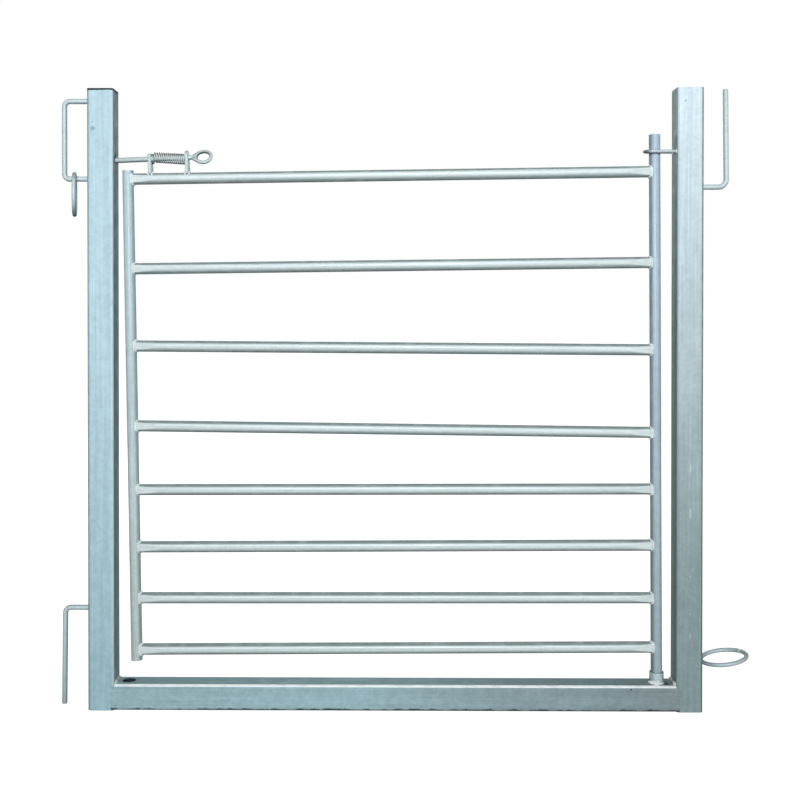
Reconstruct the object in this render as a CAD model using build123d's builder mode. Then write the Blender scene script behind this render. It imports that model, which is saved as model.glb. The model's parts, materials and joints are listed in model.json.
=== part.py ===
"""Sheep gate: a rail leaf hung in a welded box-section frame, with a sprung bolt."""
import os
from math import ceil, cos, degrees, pi, radians, sin, tan

from build123d import *

# Welded frame, cut from one square box section (mm)
frame_width = 1165.0
post_height = 1180.0
box_side = 50.0
box_wall = 3.0
box_corner = 6.0
drain_diameter = 26.0
drain_setback = 23.5
vent_diameter = 7.0
vent_setback = 14.7

# Leaf tubes, with the gaps that the stiles leave to the posts and their drops from the post tops
tube_diameter = 21.3
tube_wall = 2.0
hinge_foot_gap = 32.0
hinge_head_gap = 37.9
hinge_head_drop = 86.0
latch_foot_gap = 38.4
latch_foot_height = 89.4
latch_head_gap = 22.8
latch_head_drop = 152.6

# Rails: where each meets the stiles, as shares of the span between bottom and top rail
bottom_rail_height = 109.9
top_rail_drop = 169.5
rail_latch_shares = (0.0, 0.1095, 0.2181, 0.3402, 0.4763, 0.6461, 0.8099, 1.0)
rail_hinge_shares = (0.0077, 0.1124, 0.2243, 0.3433, 0.4631, 0.6380, 0.8231, 1.0148)
rail_names = ("bottom_rail", "rail_7", "rail_6", "rail_5", "rail_4", "rail_3", "rail_2", "top_rail")

# Hinge: a short socket on the sill and a bent loop on the post
socket_height = 20.0
socket_wall = 2.3
socket_clearance = 0.5
foot_clearance = 0.4
loop_rod = 6.0
loop_drop = 118.3
loop_reach = 59.2
loop_tilt = 4.5
loop_clearance = 1.85

# Sprung bolt on two lugs that straddle the top rail
bolt_diameter = 10.0
bolt_rise = 2.3
bolt_height = 37.7
bolt_engagement = 17.0
bolt_tip_chamfer = 1.5
lug_setback = 42.5
lug_spacing = 70.5
lug_thickness = 6.0
lug_width = 25.0
lug_head = 14.6
lug_corner = 8.0
lug_skirt = 5.0
lug_clearance = 0.5
collar_diameter = 20.0
collar_length = 4.0
collar_clearance = 0.1
bearing_gap = 0.2
spring_diameter = 21.0
spring_wire = 2.0
spring_turns = 15
spring_steps = 6
spring_sides = 4
eye_diameter = 36.0
eye_bar = 6.8
eye_setback = 31.5
eye_tilt = 52.0
latch_hole_diameter = 20.0
latch_hole_rise = 4.0

# Coupling rods and rings on the outer faces of the posts
coupling_rod = 10.0
coupling_reach = 48.5
arm_bend = 10.0
staple_drop = 21.0
staple_length = 148.2
drop_arm_height = 190.0
drop_pin_end_height = 5.0
drop_pin_splay = 2.4
coupling_pin_length = 185.8
coupling_pin_lean = 2.0
coupling_pin_bend = 15.0
ring_rod = 8.0
ring_diameter = 92.6
ring_height = 97.4
ring_rise = 9.5
ring_joint = 0.4
link_diameter = 85.5
link_setback = 29.8
link_turn = 13.5
link_clearance = 0.4

# Facets of bent rods: degrees of bend to a facet, and sides round the rod
bend_step = 22.6
rod_sides = 8

# Weld fit of coped ends and overrun of cuts
weld_gap = 0.2
cut_overrun = 1.0

half_width = frame_width / 2
inner_face = half_width - box_side
tube_radius = tube_diameter / 2
bolt_radius = bolt_diameter / 2
rail_span = post_height - top_rail_drop - bottom_rail_height

os.makedirs("parts", exist_ok=True)


def save(builder, name):
    """Label a finished piece and write it."""
    builder.part.label = name
    export_step(builder.part, f"parts/{name}.step")


def box_section():
    """Draw the rounded box section that posts and sill are cut from."""
    RectangleRounded(box_side, box_side, box_corner)
    bore = box_side - 2 * box_wall
    RectangleRounded(bore, bore, box_corner - box_wall, mode=Mode.SUBTRACT)


def point_at_height(foot, head, height):
    """Point at a height on the line through a stile's foot and head."""
    return foot + (head - foot) * ((height - foot.Z) / (head.Z - foot.Z))


def rod_along(path, diameter, pin=False):
    """Bent rod along a flat line, in facets. On a pin the last run is round."""
    wire = path.wire()
    across = path.workplanes[0].z_dir
    runs = wire.order_edges()
    shares = [0.0]
    walked = 0.0
    for run in runs[:-1] if pin else runs:
        bent = run.geom_type == GeomType.CIRCLE
        facets = ceil(run.length / (run.radius * radians(bend_step))) if bent else 1
        shares += [(walked + run.length * facet / facets) / wire.length for facet in range(1, facets + 1)]
        walked += run.length
    with BuildPart() as rod:
        for share in shares:
            with BuildSketch(Plane(origin=wire @ share, x_dir=across, z_dir=wire % share)):
                RegularPolygon(diameter / 2, rod_sides)
        loft(ruled=True)
        if pin:
            with BuildSketch(Plane(origin=wire @ shares[-1], z_dir=wire % shares[-1])):
                Circle(diameter / 2)
            extrude(amount=runs[-1].length)
    return rod


def ring_on(plane, radius, diameter, joint_angle):
    """Ring of bent rod, whose ends meet at a butt joint at an angle in the plane."""
    gap = degrees(ring_joint / radius)
    with BuildLine(plane) as turn:
        CenterArc((0, 0), radius, joint_angle + gap / 2, 360 - gap)
    return rod_along(turn, diameter)


# Axis points of the two stiles
hinge_foot = Vector(inner_face - hinge_foot_gap, 0, box_side + foot_clearance)
hinge_head = Vector(inner_face - hinge_head_gap, 0, post_height - hinge_head_drop)
latch_foot = Vector(latch_foot_gap - inner_face, 0, latch_foot_height)
latch_head = Vector(latch_head_gap - inner_face, 0, post_height - latch_head_drop)
stile_lines = ((hinge_foot, hinge_head), (latch_foot, latch_head))

# Axis points of the rails, from the latch stile to the hinge stile
rail_lines = []
for latch_share, hinge_share in zip(rail_latch_shares, rail_hinge_shares):
    latch_end = point_at_height(latch_foot, latch_head, bottom_rail_height + latch_share * rail_span)
    hinge_end = point_at_height(hinge_foot, hinge_head, bottom_rail_height + hinge_share * rail_span)
    rail_lines.append((latch_end, hinge_end))
top_rail_start, top_rail_end = rail_lines[-1]
top_rail_slope = (top_rail_end.Z - top_rail_start.Z) / (top_rail_end.X - top_rail_start.X)

# Bolt axis: local z runs from the post towards the pull eye, local y points up
bolt_direction = Vector(cos(radians(bolt_rise)), 0, sin(radians(bolt_rise)))
outer_lug_x = top_rail_start.X + lug_setback
outer_lug_z = top_rail_start.Z + lug_setback * top_rail_slope + bolt_height
bolt_axis = Plane(origin=(outer_lug_x, 0, outer_lug_z), x_dir=(0, 1, 0), z_dir=bolt_direction)
latch_hole_z = outer_lug_z - (outer_lug_x + inner_face) * tan(radians(bolt_rise)) + latch_hole_rise

# Latch post, with the round hole that takes the bolt
with BuildPart() as latch_post:
    with BuildSketch(Plane((box_side / 2 - half_width, 0, 0))):
        box_section()
    extrude(amount=post_height)
    with BuildSketch(Plane(origin=(-inner_face, 0, latch_hole_z), z_dir=(-1, 0, 0))):
        Circle(latch_hole_diameter / 2)
    extrude(amount=box_wall + cut_overrun, mode=Mode.SUBTRACT)
save(latch_post, "latch_post")

# Hinge post
with BuildPart() as hinge_post:
    with BuildSketch(Plane((half_width - box_side / 2, 0, 0))):
        box_section()
    extrude(amount=post_height)
save(hinge_post, "hinge_post")

# Sill between the posts, with a drain hole at the latch end and a vent beside the socket
with BuildPart() as sill:
    with BuildSketch(Plane(origin=(-inner_face, 0, box_side / 2), x_dir=(0, 1, 0), z_dir=(1, 0, 0))):
        box_section()
    extrude(amount=2 * inner_face)
    with BuildSketch(Plane.XY.offset(box_side)):
        with Locations((drain_setback - inner_face, 0)):
            Circle(drain_diameter / 2)
        with Locations((inner_face - vent_setback, 0)):
            Circle(vent_diameter / 2)
    extrude(amount=-(box_wall + cut_overrun), mode=Mode.SUBTRACT)
save(sill, "sill")

# Socket tube that the hinge stile stands in
socket_bore = tube_radius + socket_clearance
with BuildPart() as hinge_socket:
    with BuildSketch(Plane((hinge_foot.X, 0, box_side))):
        Circle(socket_bore + socket_wall)
        Circle(socket_bore, mode=Mode.SUBTRACT)
    extrude(amount=socket_height)
save(hinge_socket, "hinge_socket")

# Bent loop that holds the head of the hinge stile to the post, its back leg a little higher
loop_half = tube_radius + loop_clearance + loop_rod / 2
loop_bend_x = inner_face - loop_reach + loop_rod / 2 + loop_half
loop_plane = Plane(Location((0, 0, post_height - loop_drop), (loop_tilt, 0, 0)))
with BuildLine(loop_plane) as loop_path:
    Line((inner_face, -loop_half), (loop_bend_x, -loop_half))
    CenterArc((loop_bend_x, 0), loop_half, -90, -180)
    Line((loop_bend_x, loop_half), (inner_face, loop_half))
save(rod_along(loop_path, loop_rod), "hinge_loop")

# Bent coupling rods welded to the outer faces of the posts
rod_x = half_width + coupling_reach
staple_top = post_height - staple_drop
staple_foot = staple_top - staple_length
pin_arm = post_height - coupling_pin_length
staple_route = (
    (-half_width, staple_top),
    (-rod_x, staple_top),
    (-rod_x, staple_foot),
    (-half_width, staple_foot),
)
drop_pin_route = (
    (-half_width, drop_arm_height),
    (-rod_x, drop_arm_height),
    (-rod_x - drop_pin_splay, drop_pin_end_height),
)
coupling_pin_route = (
    (half_width, pin_arm),
    (rod_x, pin_arm),
    (rod_x - coupling_pin_lean, post_height),
)
rods = (
    ("link_staple", staple_route, arm_bend, False),
    ("drop_pin", drop_pin_route, arm_bend, True),
    ("coupling_pin", coupling_pin_route, coupling_pin_bend, True),
)
for rod_name, route, bend, pin in rods:
    with BuildLine(Plane.XZ) as rod_path:
        FilletPolyline(*route, radius=bend)
    save(rod_along(rod_path, coupling_rod, pin), rod_name)

# Ring on the foot of the hinge post, tipped up outwards
ring_radius = (ring_diameter - ring_rod) / 2
ring_x = half_width + ring_radius * cos(radians(ring_rise)) + ring_rod / 2
ring_plane = Plane(Location((ring_x, 0, ring_height), (0, -ring_rise, 0)))
save(ring_on(ring_plane, ring_radius, ring_rod, 0), "coupling_ring")

# Loose ring hanging on the lower arm of the staple, turned a little off square to it
link_radius = (link_diameter - ring_rod) / 2
link_z = staple_foot + (coupling_rod + ring_rod) / 2 + link_clearance - link_radius
link_across = Vector(-sin(radians(link_turn)), cos(radians(link_turn)), 0)
link_normal = Vector(cos(radians(link_turn)), sin(radians(link_turn)), 0)
link_plane = Plane(origin=(-half_width - link_setback, 0, link_z), x_dir=link_across, z_dir=link_normal)
save(ring_on(link_plane, link_radius, ring_rod, -90), "link_ring")

# Stiles of the leaf
for stile_name, (foot, head) in zip(("hinge_stile", "latch_stile"), stile_lines):
    with BuildPart() as stile:
        with BuildSketch(Plane(origin=foot, z_dir=head - foot)):
            Circle(tube_radius)
            Circle(tube_radius - tube_wall, mode=Mode.SUBTRACT)
        extrude(amount=(head - foot).length)
    save(stile, stile_name)

# Rails, coped at both ends to sit round the stiles
for rail_name, (latch_end, hinge_end) in zip(rail_names, rail_lines):
    with BuildPart() as rail:
        with BuildSketch(Plane(origin=latch_end, z_dir=hinge_end - latch_end)):
            Circle(tube_radius)
            Circle(tube_radius - tube_wall, mode=Mode.SUBTRACT)
        extrude(amount=(hinge_end - latch_end).length)
        for foot, head in stile_lines:
            with BuildSketch(Plane(origin=foot, z_dir=head - foot)):
                Circle(tube_radius + weld_gap)
            extrude(amount=(head - foot).length, mode=Mode.SUBTRACT)
    save(rail, rail_name)

# Lugs that guide the bolt, square to it and saddled over the top rail
for lug_name, lug_place in (("outer_lug", 0.0), ("inner_lug", lug_spacing)):
    lug_centre = bolt_axis.origin + bolt_direction * lug_place
    rail_z = top_rail_start.Z + (lug_centre.X - top_rail_start.X) * top_rail_slope
    lug_foot = lug_centre.Z - rail_z - lug_skirt
    with BuildPart() as lug:
        with BuildSketch(bolt_axis.offset(lug_place - lug_thickness / 2)):
            with Locations((0, (lug_head - lug_foot) / 2)):
                plate = Rectangle(lug_width, lug_head + lug_foot)
            chamfer(plate.vertices().group_by(Axis.Z)[-1], lug_corner)
            Circle(bolt_radius + lug_clearance, mode=Mode.SUBTRACT)
        extrude(amount=lug_thickness)
        with BuildSketch(Plane(origin=top_rail_start, z_dir=top_rail_end - top_rail_start)):
            Circle(tube_radius + weld_gap)
        extrude(amount=(top_rail_end - top_rail_start).length, mode=Mode.SUBTRACT)
    save(lug, lug_name)

# Bolt: a round bar from the post to its pull eye
eye_radius = (eye_diameter - eye_bar) / 2
eye_place = lug_spacing + eye_setback
eye_across = Vector(0, cos(radians(eye_tilt)), sin(radians(eye_tilt)))
eye_plane = Plane(
    origin=bolt_axis.origin + bolt_direction * eye_place,
    x_dir=bolt_direction,
    z_dir=bolt_direction.cross(eye_across),
)
pull_eye = ring_on(eye_plane, eye_radius, eye_bar, 180)
bolt_reach = (outer_lug_x + inner_face + bolt_engagement) / cos(radians(bolt_rise))
with BuildPart() as latch_bolt:
    with BuildSketch(bolt_axis.offset(-bolt_reach)):
        Circle(bolt_radius)
    extrude(amount=bolt_reach + eye_place - eye_radius)
    chamfer(latch_bolt.edges().sort_by(Axis.X)[0], bolt_tip_chamfer)
    add(pull_eye.part)
save(latch_bolt, "latch_bolt")

# Collar on the bolt, which bears on the outer lug and carries the spring
collar_place = lug_thickness / 2 + bearing_gap
with BuildPart() as bolt_collar:
    with BuildSketch(bolt_axis.offset(collar_place)):
        Circle(collar_diameter / 2)
        Circle(bolt_radius + collar_clearance, mode=Mode.SUBTRACT)
    extrude(amount=collar_length)
save(bolt_collar, "bolt_collar")

# Spring between the collar and the inner lug: a faceted wire carried round a helix
spring_start = collar_place + collar_length + bearing_gap + spring_wire / 2
spring_end = lug_spacing - lug_thickness / 2 - bearing_gap - spring_wire / 2
coil_radius = (spring_diameter - spring_wire) / 2
coil_slope = (spring_end - spring_start) / (2 * pi * spring_turns)
with BuildPart() as latch_spring:
    for step in range(spring_turns * spring_steps + 1):
        turn = 2 * pi * step / spring_steps
        outward = bolt_axis.x_dir * cos(turn) + bolt_axis.y_dir * sin(turn)
        around = bolt_axis.y_dir * cos(turn) - bolt_axis.x_dir * sin(turn)
        along = bolt_direction * (spring_start + coil_slope * turn)
        wire_centre = bolt_axis.origin + outward * coil_radius + along
        wire_direction = around * coil_radius + bolt_direction * coil_slope
        with BuildSketch(Plane(origin=wire_centre, x_dir=outward, z_dir=wire_direction)):
            RegularPolygon(spring_wire / 2, spring_sides)
    loft(ruled=True)
save(latch_spring, "latch_spring")
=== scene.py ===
"""Galvanised sheep gate: smooth tubes, bent rods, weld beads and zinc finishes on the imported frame."""

import json
import logging
from dataclasses import dataclass
from enum import Enum, IntEnum
from math import acos, atan2, cos, pi, radians, sin, tan

import bpy
import numpy as np
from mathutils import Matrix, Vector


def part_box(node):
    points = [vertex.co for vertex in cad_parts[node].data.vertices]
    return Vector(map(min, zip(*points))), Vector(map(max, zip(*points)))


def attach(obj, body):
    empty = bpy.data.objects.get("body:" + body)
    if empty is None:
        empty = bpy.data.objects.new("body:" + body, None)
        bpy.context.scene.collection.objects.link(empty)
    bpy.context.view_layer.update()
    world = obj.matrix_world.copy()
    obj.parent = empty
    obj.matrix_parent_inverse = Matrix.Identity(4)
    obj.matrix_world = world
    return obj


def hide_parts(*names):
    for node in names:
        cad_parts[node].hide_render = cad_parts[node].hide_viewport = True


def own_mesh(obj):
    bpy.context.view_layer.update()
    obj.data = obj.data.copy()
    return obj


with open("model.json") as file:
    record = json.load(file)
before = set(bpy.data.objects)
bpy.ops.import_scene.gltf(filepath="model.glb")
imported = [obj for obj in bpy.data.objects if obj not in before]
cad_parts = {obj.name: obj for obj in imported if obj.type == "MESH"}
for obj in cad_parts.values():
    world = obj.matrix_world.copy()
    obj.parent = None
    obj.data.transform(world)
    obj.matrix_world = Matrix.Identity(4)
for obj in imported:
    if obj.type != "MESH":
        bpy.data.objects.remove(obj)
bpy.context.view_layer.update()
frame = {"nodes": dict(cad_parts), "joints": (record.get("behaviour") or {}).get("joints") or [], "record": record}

log = logging.getLogger("sheep_gate")
Array = np.ndarray
Band = tuple[float, float]
Colour = tuple[float, float, float]
Place = tuple[float, float, float]
Socket = bpy.types.NodeSocket
RIGHTWARD = np.array((1.0, 0.0, 0.0))
BACKWARD = np.array((0.0, 1.0, 0.0))
UPWARD = np.array((0.0, 0.0, 1.0))
NOWHERE = np.zeros(3)
MILLIMETRE = 0.001
FULL_TURN = 2 * pi
SMOOTH_BELOW = radians(50)
# Mesh attribute that holds each point's painted shade, and the painted shade of a tube's bore, which is nearly
# black.
PAINTED_SHADE_ATTRIBUTE = "painted_shade"
BORE_PAINTED_SHADE = 0.9
RIM_POINTS = 3
CUT_LUMPS = 7
INNER_RAILS = range(2, 8)
LUGS = ("outer_lug", "inner_lug")


# Surfaces

@dataclass
class Surface:
    """A closed mesh in plain arrays, with its faces pointing outwards.

    Attributes:
        points: Corner points, one row each, in metres.
        quads: Four point numbers for each face of the grid.
        fans: Three point numbers for each face of an end cap.
        shade: How dark the painted shade is at each point, from 0 to 1.
    """

    points: Array
    quads: Array
    fans: Array
    shade: Array

    @classmethod
    def of_grid(cls, grid: Array, ring: bool, shade: Array | float = 0.0) -> "Surface":
        """Close a grid of points into a surface.

        The columns always wrap. The rows wrap too on a ring; otherwise a fan of
        triangles round the middle of the first and last row closes each end.

        Args:
            grid: Points as rows by columns by three.
            ring: Whether the last row joins the first.
            shade: Painted shade at each point of the grid, in any shape that spreads over it.

        Returns:
            The closed surface, turned so that its volume is positive.
        """
        rows, cols = grid.shape[:2]
        points = grid.reshape(-1, 3)
        dark = np.broadcast_to(shade, (rows, cols))
        painted_shade = dark.reshape(-1)
        row, col = np.meshgrid(np.arange(rows if ring else rows - 1), np.arange(cols), indexing="ij")
        beyond, beside = (row + 1) % rows * cols, (col + 1) % cols
        corners = (row * cols + col, row * cols + beside, beyond + beside, beyond + col)
        quads = np.stack(corners, axis=-1).reshape(-1, 4)
        fans = np.empty((0, 3), int)
        if not ring:
            around = np.arange(cols)
            beside = (around + 1) % cols
            last = (rows - 1) * cols
            poles = np.full(cols, rows * cols)
            first_fan = np.stack((beside, around, poles), axis=-1)
            last_fan = np.stack((last + around, last + beside, poles + 1), axis=-1)
            points = np.vstack((points, grid[0].mean(axis=0), grid[-1].mean(axis=0)))
            painted_shade = np.concatenate((painted_shade, (dark[0].mean(), dark[-1].mean())))
            fans = np.vstack((first_fan, last_fan))
        surface = cls(points, quads, fans, painted_shade)
        return surface if surface.volume() > 0 else cls(points, quads[:, ::-1], fans[:, ::-1], painted_shade)

    def volume(self) -> float:
        """Volume inside the surface: a sixth of the sum of a · (b × c) over its triangles."""
        triangles = np.vstack((self.quads[:, :3], self.quads[:, (0, 2, 3)], self.fans))
        a, b, c = (self.points[triangles[:, corner]] for corner in range(3))
        return float(np.sum(a * np.cross(b, c)) / 6)


def unit(vectors: Array) -> Array:
    """Scale vectors, one or a row each, to length 1."""
    return vectors / np.linalg.norm(vectors, axis=-1, keepdims=True)


def circle_angles(sides: int) -> Array:
    """Evenly spaced angles of one full turn."""
    return np.linspace(0, FULL_TURN, sides, endpoint=False)


def arc(centre: Array, first: Array, second: Array, radius: float, angle: Array) -> Array:
    """Points C + r (cos a · first + sin a · second), a row for each angle a."""
    return centre + radius * (np.cos(angle)[:, None] * first + np.sin(angle)[:, None] * second)


def round_path(centre: Array, first: Array, second: Array, radius: float, sides: int) -> Array:
    """Full circle, as arc gives it at evenly spaced angles."""
    return arc(centre, first, second, radius, circle_angles(sides))


def frame_along(path: Array, across: Array, closed: bool) -> tuple[Array, Array]:
    """Normals and binormals along a path.

    The normal is across × tangent and the binormal tangent × normal, all unit vectors.

    Args:
        path: Points of the path, a row each.
        across: A direction, or one for each point, that is never along the path.
        closed: Whether the path's end joins its start.

    Returns:
        The normals and the binormals, a row for each point.
    """
    if closed:
        step = np.roll(path, -1, axis=0) - np.roll(path, 1, axis=0)
    else:
        step = np.gradient(path, axis=0)
    tangent = unit(step)
    normal = unit(np.cross(np.broadcast_to(across, path.shape), tangent))
    return normal, np.cross(tangent, normal)


def carried_round(path: Array, radius: Array | float, across: Array, sides: int,
                  closed: bool = False, flat: float = 1.0) -> Array:
    """Carry a circle along a path.

    P(i, a) = path_i + radius_i (flat cos a · normal_i + sin a · binormal_i).

    Args:
        path: Points of the path, a row each.
        radius: One radius, or one for each point.
        across: A direction, or one for each point, that is never along the path.
        sides: Points round the circle.
        closed: Whether the path's end joins its start.
        flat: Share of the radius that is kept along the normal.

    Returns:
        The points as a grid of rows along the path and columns round it.
    """
    normal, binormal = frame_along(path, across, closed)
    angle = circle_angles(sides)[None, :, None]
    circle = flat * np.cos(angle) * normal[:, None, :] + np.sin(angle) * binormal[:, None, :]
    reach = np.broadcast_to(radius, len(path))[:, None, None]
    return path[:, None, :] + reach * circle


def turned(start: Array, direction: Array, distance: Array, radius: Array, sides: int) -> Array:
    """Turn a profile about an axis in the plane of the gate.

    P(k, a) = start + distance_k · direction + radius_k (cos a · side + sin a · back).

    Args:
        start: Point on the axis from which distances count.
        direction: Unit direction of the axis.
        distance: Distances along the axis, one for each row, or one for each row and angle.
        radius: Radii, one for each row.
        sides: Points round the axis.

    Returns:
        The points as a grid of rows along the profile and columns round the axis.
    """
    spokes = round_path(NOWHERE, np.cross(direction, BACKWARD), BACKWARD, 1.0, sides)
    along = np.broadcast_to(distance.reshape(len(radius), -1), (len(radius), sides))
    return start + along[:, :, None] * direction + radius[:, None, None] * spokes


def bent_line(corners: Array, bend: float, facets: int) -> Array:
    """Line through corners, with each inner corner rounded by an arc.

    At a corner K between unit runs p and q that turn by w, the arc starts at
    K - p · bend · tan(w/2) and follows start + bend (n (1 - cos v) + p sin v), v from 0 to w,
    where n is the unit part of q square to p.

    Args:
        corners: Corner points, a row each.
        bend: Radius of every arc.
        facets: Steps in each arc.

    Returns:
        The points of the line, a row each.
    """
    stretches = [corners[:1]]
    for before, corner, after in zip(corners[:-2], corners[1:-1], corners[2:]):
        into, out = unit(corner - before), unit(after - corner)
        square = unit(out - into * np.dot(out, into))
        turn = atan2(np.dot(out, square), np.dot(out, into))
        start = corner - into * bend * tan(turn / 2)
        angle = np.linspace(0, turn, facets + 1)[:, None]
        stretches.append(start + bend * (square * (1 - np.cos(angle)) + into * np.sin(angle)))
    stretches.append(corners[-1:])
    return np.vstack(stretches)


def solid_rod(path: Array, radius: float, across: Array, sides: int, tip: float,
              shade: Array | float = 0.0) -> Surface:
    """Round rod along a path, with both end edges taken off.

    Args:
        path: Points of the rod's axis, a row each.
        radius: Radius of the rod.
        across: A direction that is never along the path.
        sides: Points round the rod.
        tip: Size of the bevel on each end.
        shade: Painted shade along the path, one number or one for each point.

    Returns:
        The closed rod.
    """
    first, last = unit(path[1] - path[0]), unit(path[-1] - path[-2])
    line = np.vstack((path[0], path[0] + tip * first, path[1:-1], path[-1] - tip * last, path[-1]))
    reach = np.full(len(line), radius)
    reach[[0, -1]] = radius - tip
    painted_shade = np.pad(np.broadcast_to(shade, len(path)), 1, mode="edge")[:, None]
    return Surface.of_grid(carried_round(line, reach, across, sides), ring=False, shade=painted_shade)


class Seed(IntEnum):
    """Numbers that fix the lumps of welds and cuts, the first of each kind."""

    FIRST = 0
    CUT_HEAD = 3
    SOCKET = 5
    BLOB = 6
    CORNER = 7
    COUPLING = 11
    RING_SEAT = 23
    RING_JOINT = 29
    LUG = 41


@dataclass(frozen=True)
class WeldRun:
    """How unevenly a weld was laid.

    Attributes:
        ripple: Depth of the steady ripple of the drops.
        sway: Depth of the slowest of the slow waves.
        waves: Number of slow waves, each shallower than the one before.
        sides: Points round a bead.
        points: Points along a straight bead.
        closed_pace: Points to a ripple on a closed bead.
        open_pace: Points to a ripple on an open bead.
        blunt: Power that sets how bluntly an open bead ends.
        least: Square of the share of its radius that it keeps at its ends.
    """

    ripple: float = 0.07
    sway: float = 0.17
    waves: int = 5
    sides: int = 10
    points: int = 41
    closed_pace: int = 3
    open_pace: int = 4
    blunt: int = 8
    least: float = 0.01

    def lumps(self, share: Array, drops: int, seed: int) -> Array:
        """Uneven thickness along a weld: a steady ripple and slower waves about 1.

        f(s) = 1 + ripple · sin(2π drops s) + Σ sway/k · sin(2π k s + phase_k), k from 1 to waves.

        Args:
            share: Places along the weld from 0 to 1.
            drops: Ripples along the whole weld.
            seed: Number that fixes the phases.

        Returns:
            A factor for each place.
        """
        phases = np.random.default_rng(seed).uniform(0, FULL_TURN, self.waves)
        counts = np.arange(1, self.waves + 1)
        slow = np.sin(FULL_TURN * share[:, None] * counts + phases) @ (self.sway / counts)
        return 1 + slow + self.ripple * np.sin(FULL_TURN * drops * share)

    def round(self, path: Array, size: Array | float, across: Array, seed: int) -> Surface:
        """Bead along a closed line: a lumpy circle carried round it.

        Args:
            path: Points of the closed line, a row each.
            size: Mean radius of the bead, or one for each point.
            across: A direction, or one for each point, that is never along the line.
            seed: Number that fixes the lumps.

        Returns:
            The closed bead.
        """
        share = np.arange(len(path)) / len(path)
        radius = size * self.lumps(share, len(path) // self.closed_pace, seed)
        return Surface.of_grid(carried_round(path, radius, across, self.sides, closed=True), ring=True)

    def open(self, path: Array, size: float, across: Array, seed: int, flat: float = 1.0) -> Surface:
        """Bead along an open line, rounded off at both ends.

        The radius at share s is size · lumps(s) · (1 - (2s - 1)^blunt)^(1/2).

        Args:
            path: Points of the line, evenly spaced, a row each.
            size: Mean radius of the bead.
            across: A direction that is never along the line.
            seed: Number that fixes the lumps.
            flat: Share of the radius that is kept along the normal.

        Returns:
            The closed bead.
        """
        share = np.linspace(0, 1, len(path))
        taper = np.sqrt(np.clip(1 - (2 * share - 1) ** self.blunt, self.least, 1))
        radius = size * taper * self.lumps(share, len(path) // self.open_pace, seed)
        return Surface.of_grid(carried_round(path, radius, across, self.sides, flat=flat), ring=False)

    def straight(self, start: Array, end: Array, size: float, across: Array, seed: int,
                 flat: float = 1.0) -> Surface:
        """Bead from one point straight to another, as open lays it."""
        share = np.linspace(0, 1, self.points)[:, None]
        return self.open(start + share * (end - start), size, across, seed, flat)


WELD = WeldRun()
RAIL_WELD = WeldRun(ripple=0.12, sway=0.24)


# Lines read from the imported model

def node_points(node: str) -> Array:
    """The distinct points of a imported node, a row each, in metres."""
    mesh = frame["nodes"][node].data
    flat = np.empty(len(mesh.vertices) * 3, np.float32)
    mesh.vertices.foreach_get("co", flat)
    return np.unique(flat.reshape(-1, 3).round(6), axis=0).astype(float)


def node_box(node: str) -> tuple[Array, Array]:
    """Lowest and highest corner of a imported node, in metres."""
    low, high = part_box(node)
    return np.array(low), np.array(high)


def mount(name: str) -> tuple[Array, Array, dict]:
    """Middle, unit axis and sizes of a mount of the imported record."""
    row = next(row for row in frame["record"]["mounts"] if row["name"] == name)
    return np.array(row["pos_m"], float), unit(np.array(row["axis"], float)), row["dims"]


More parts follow.
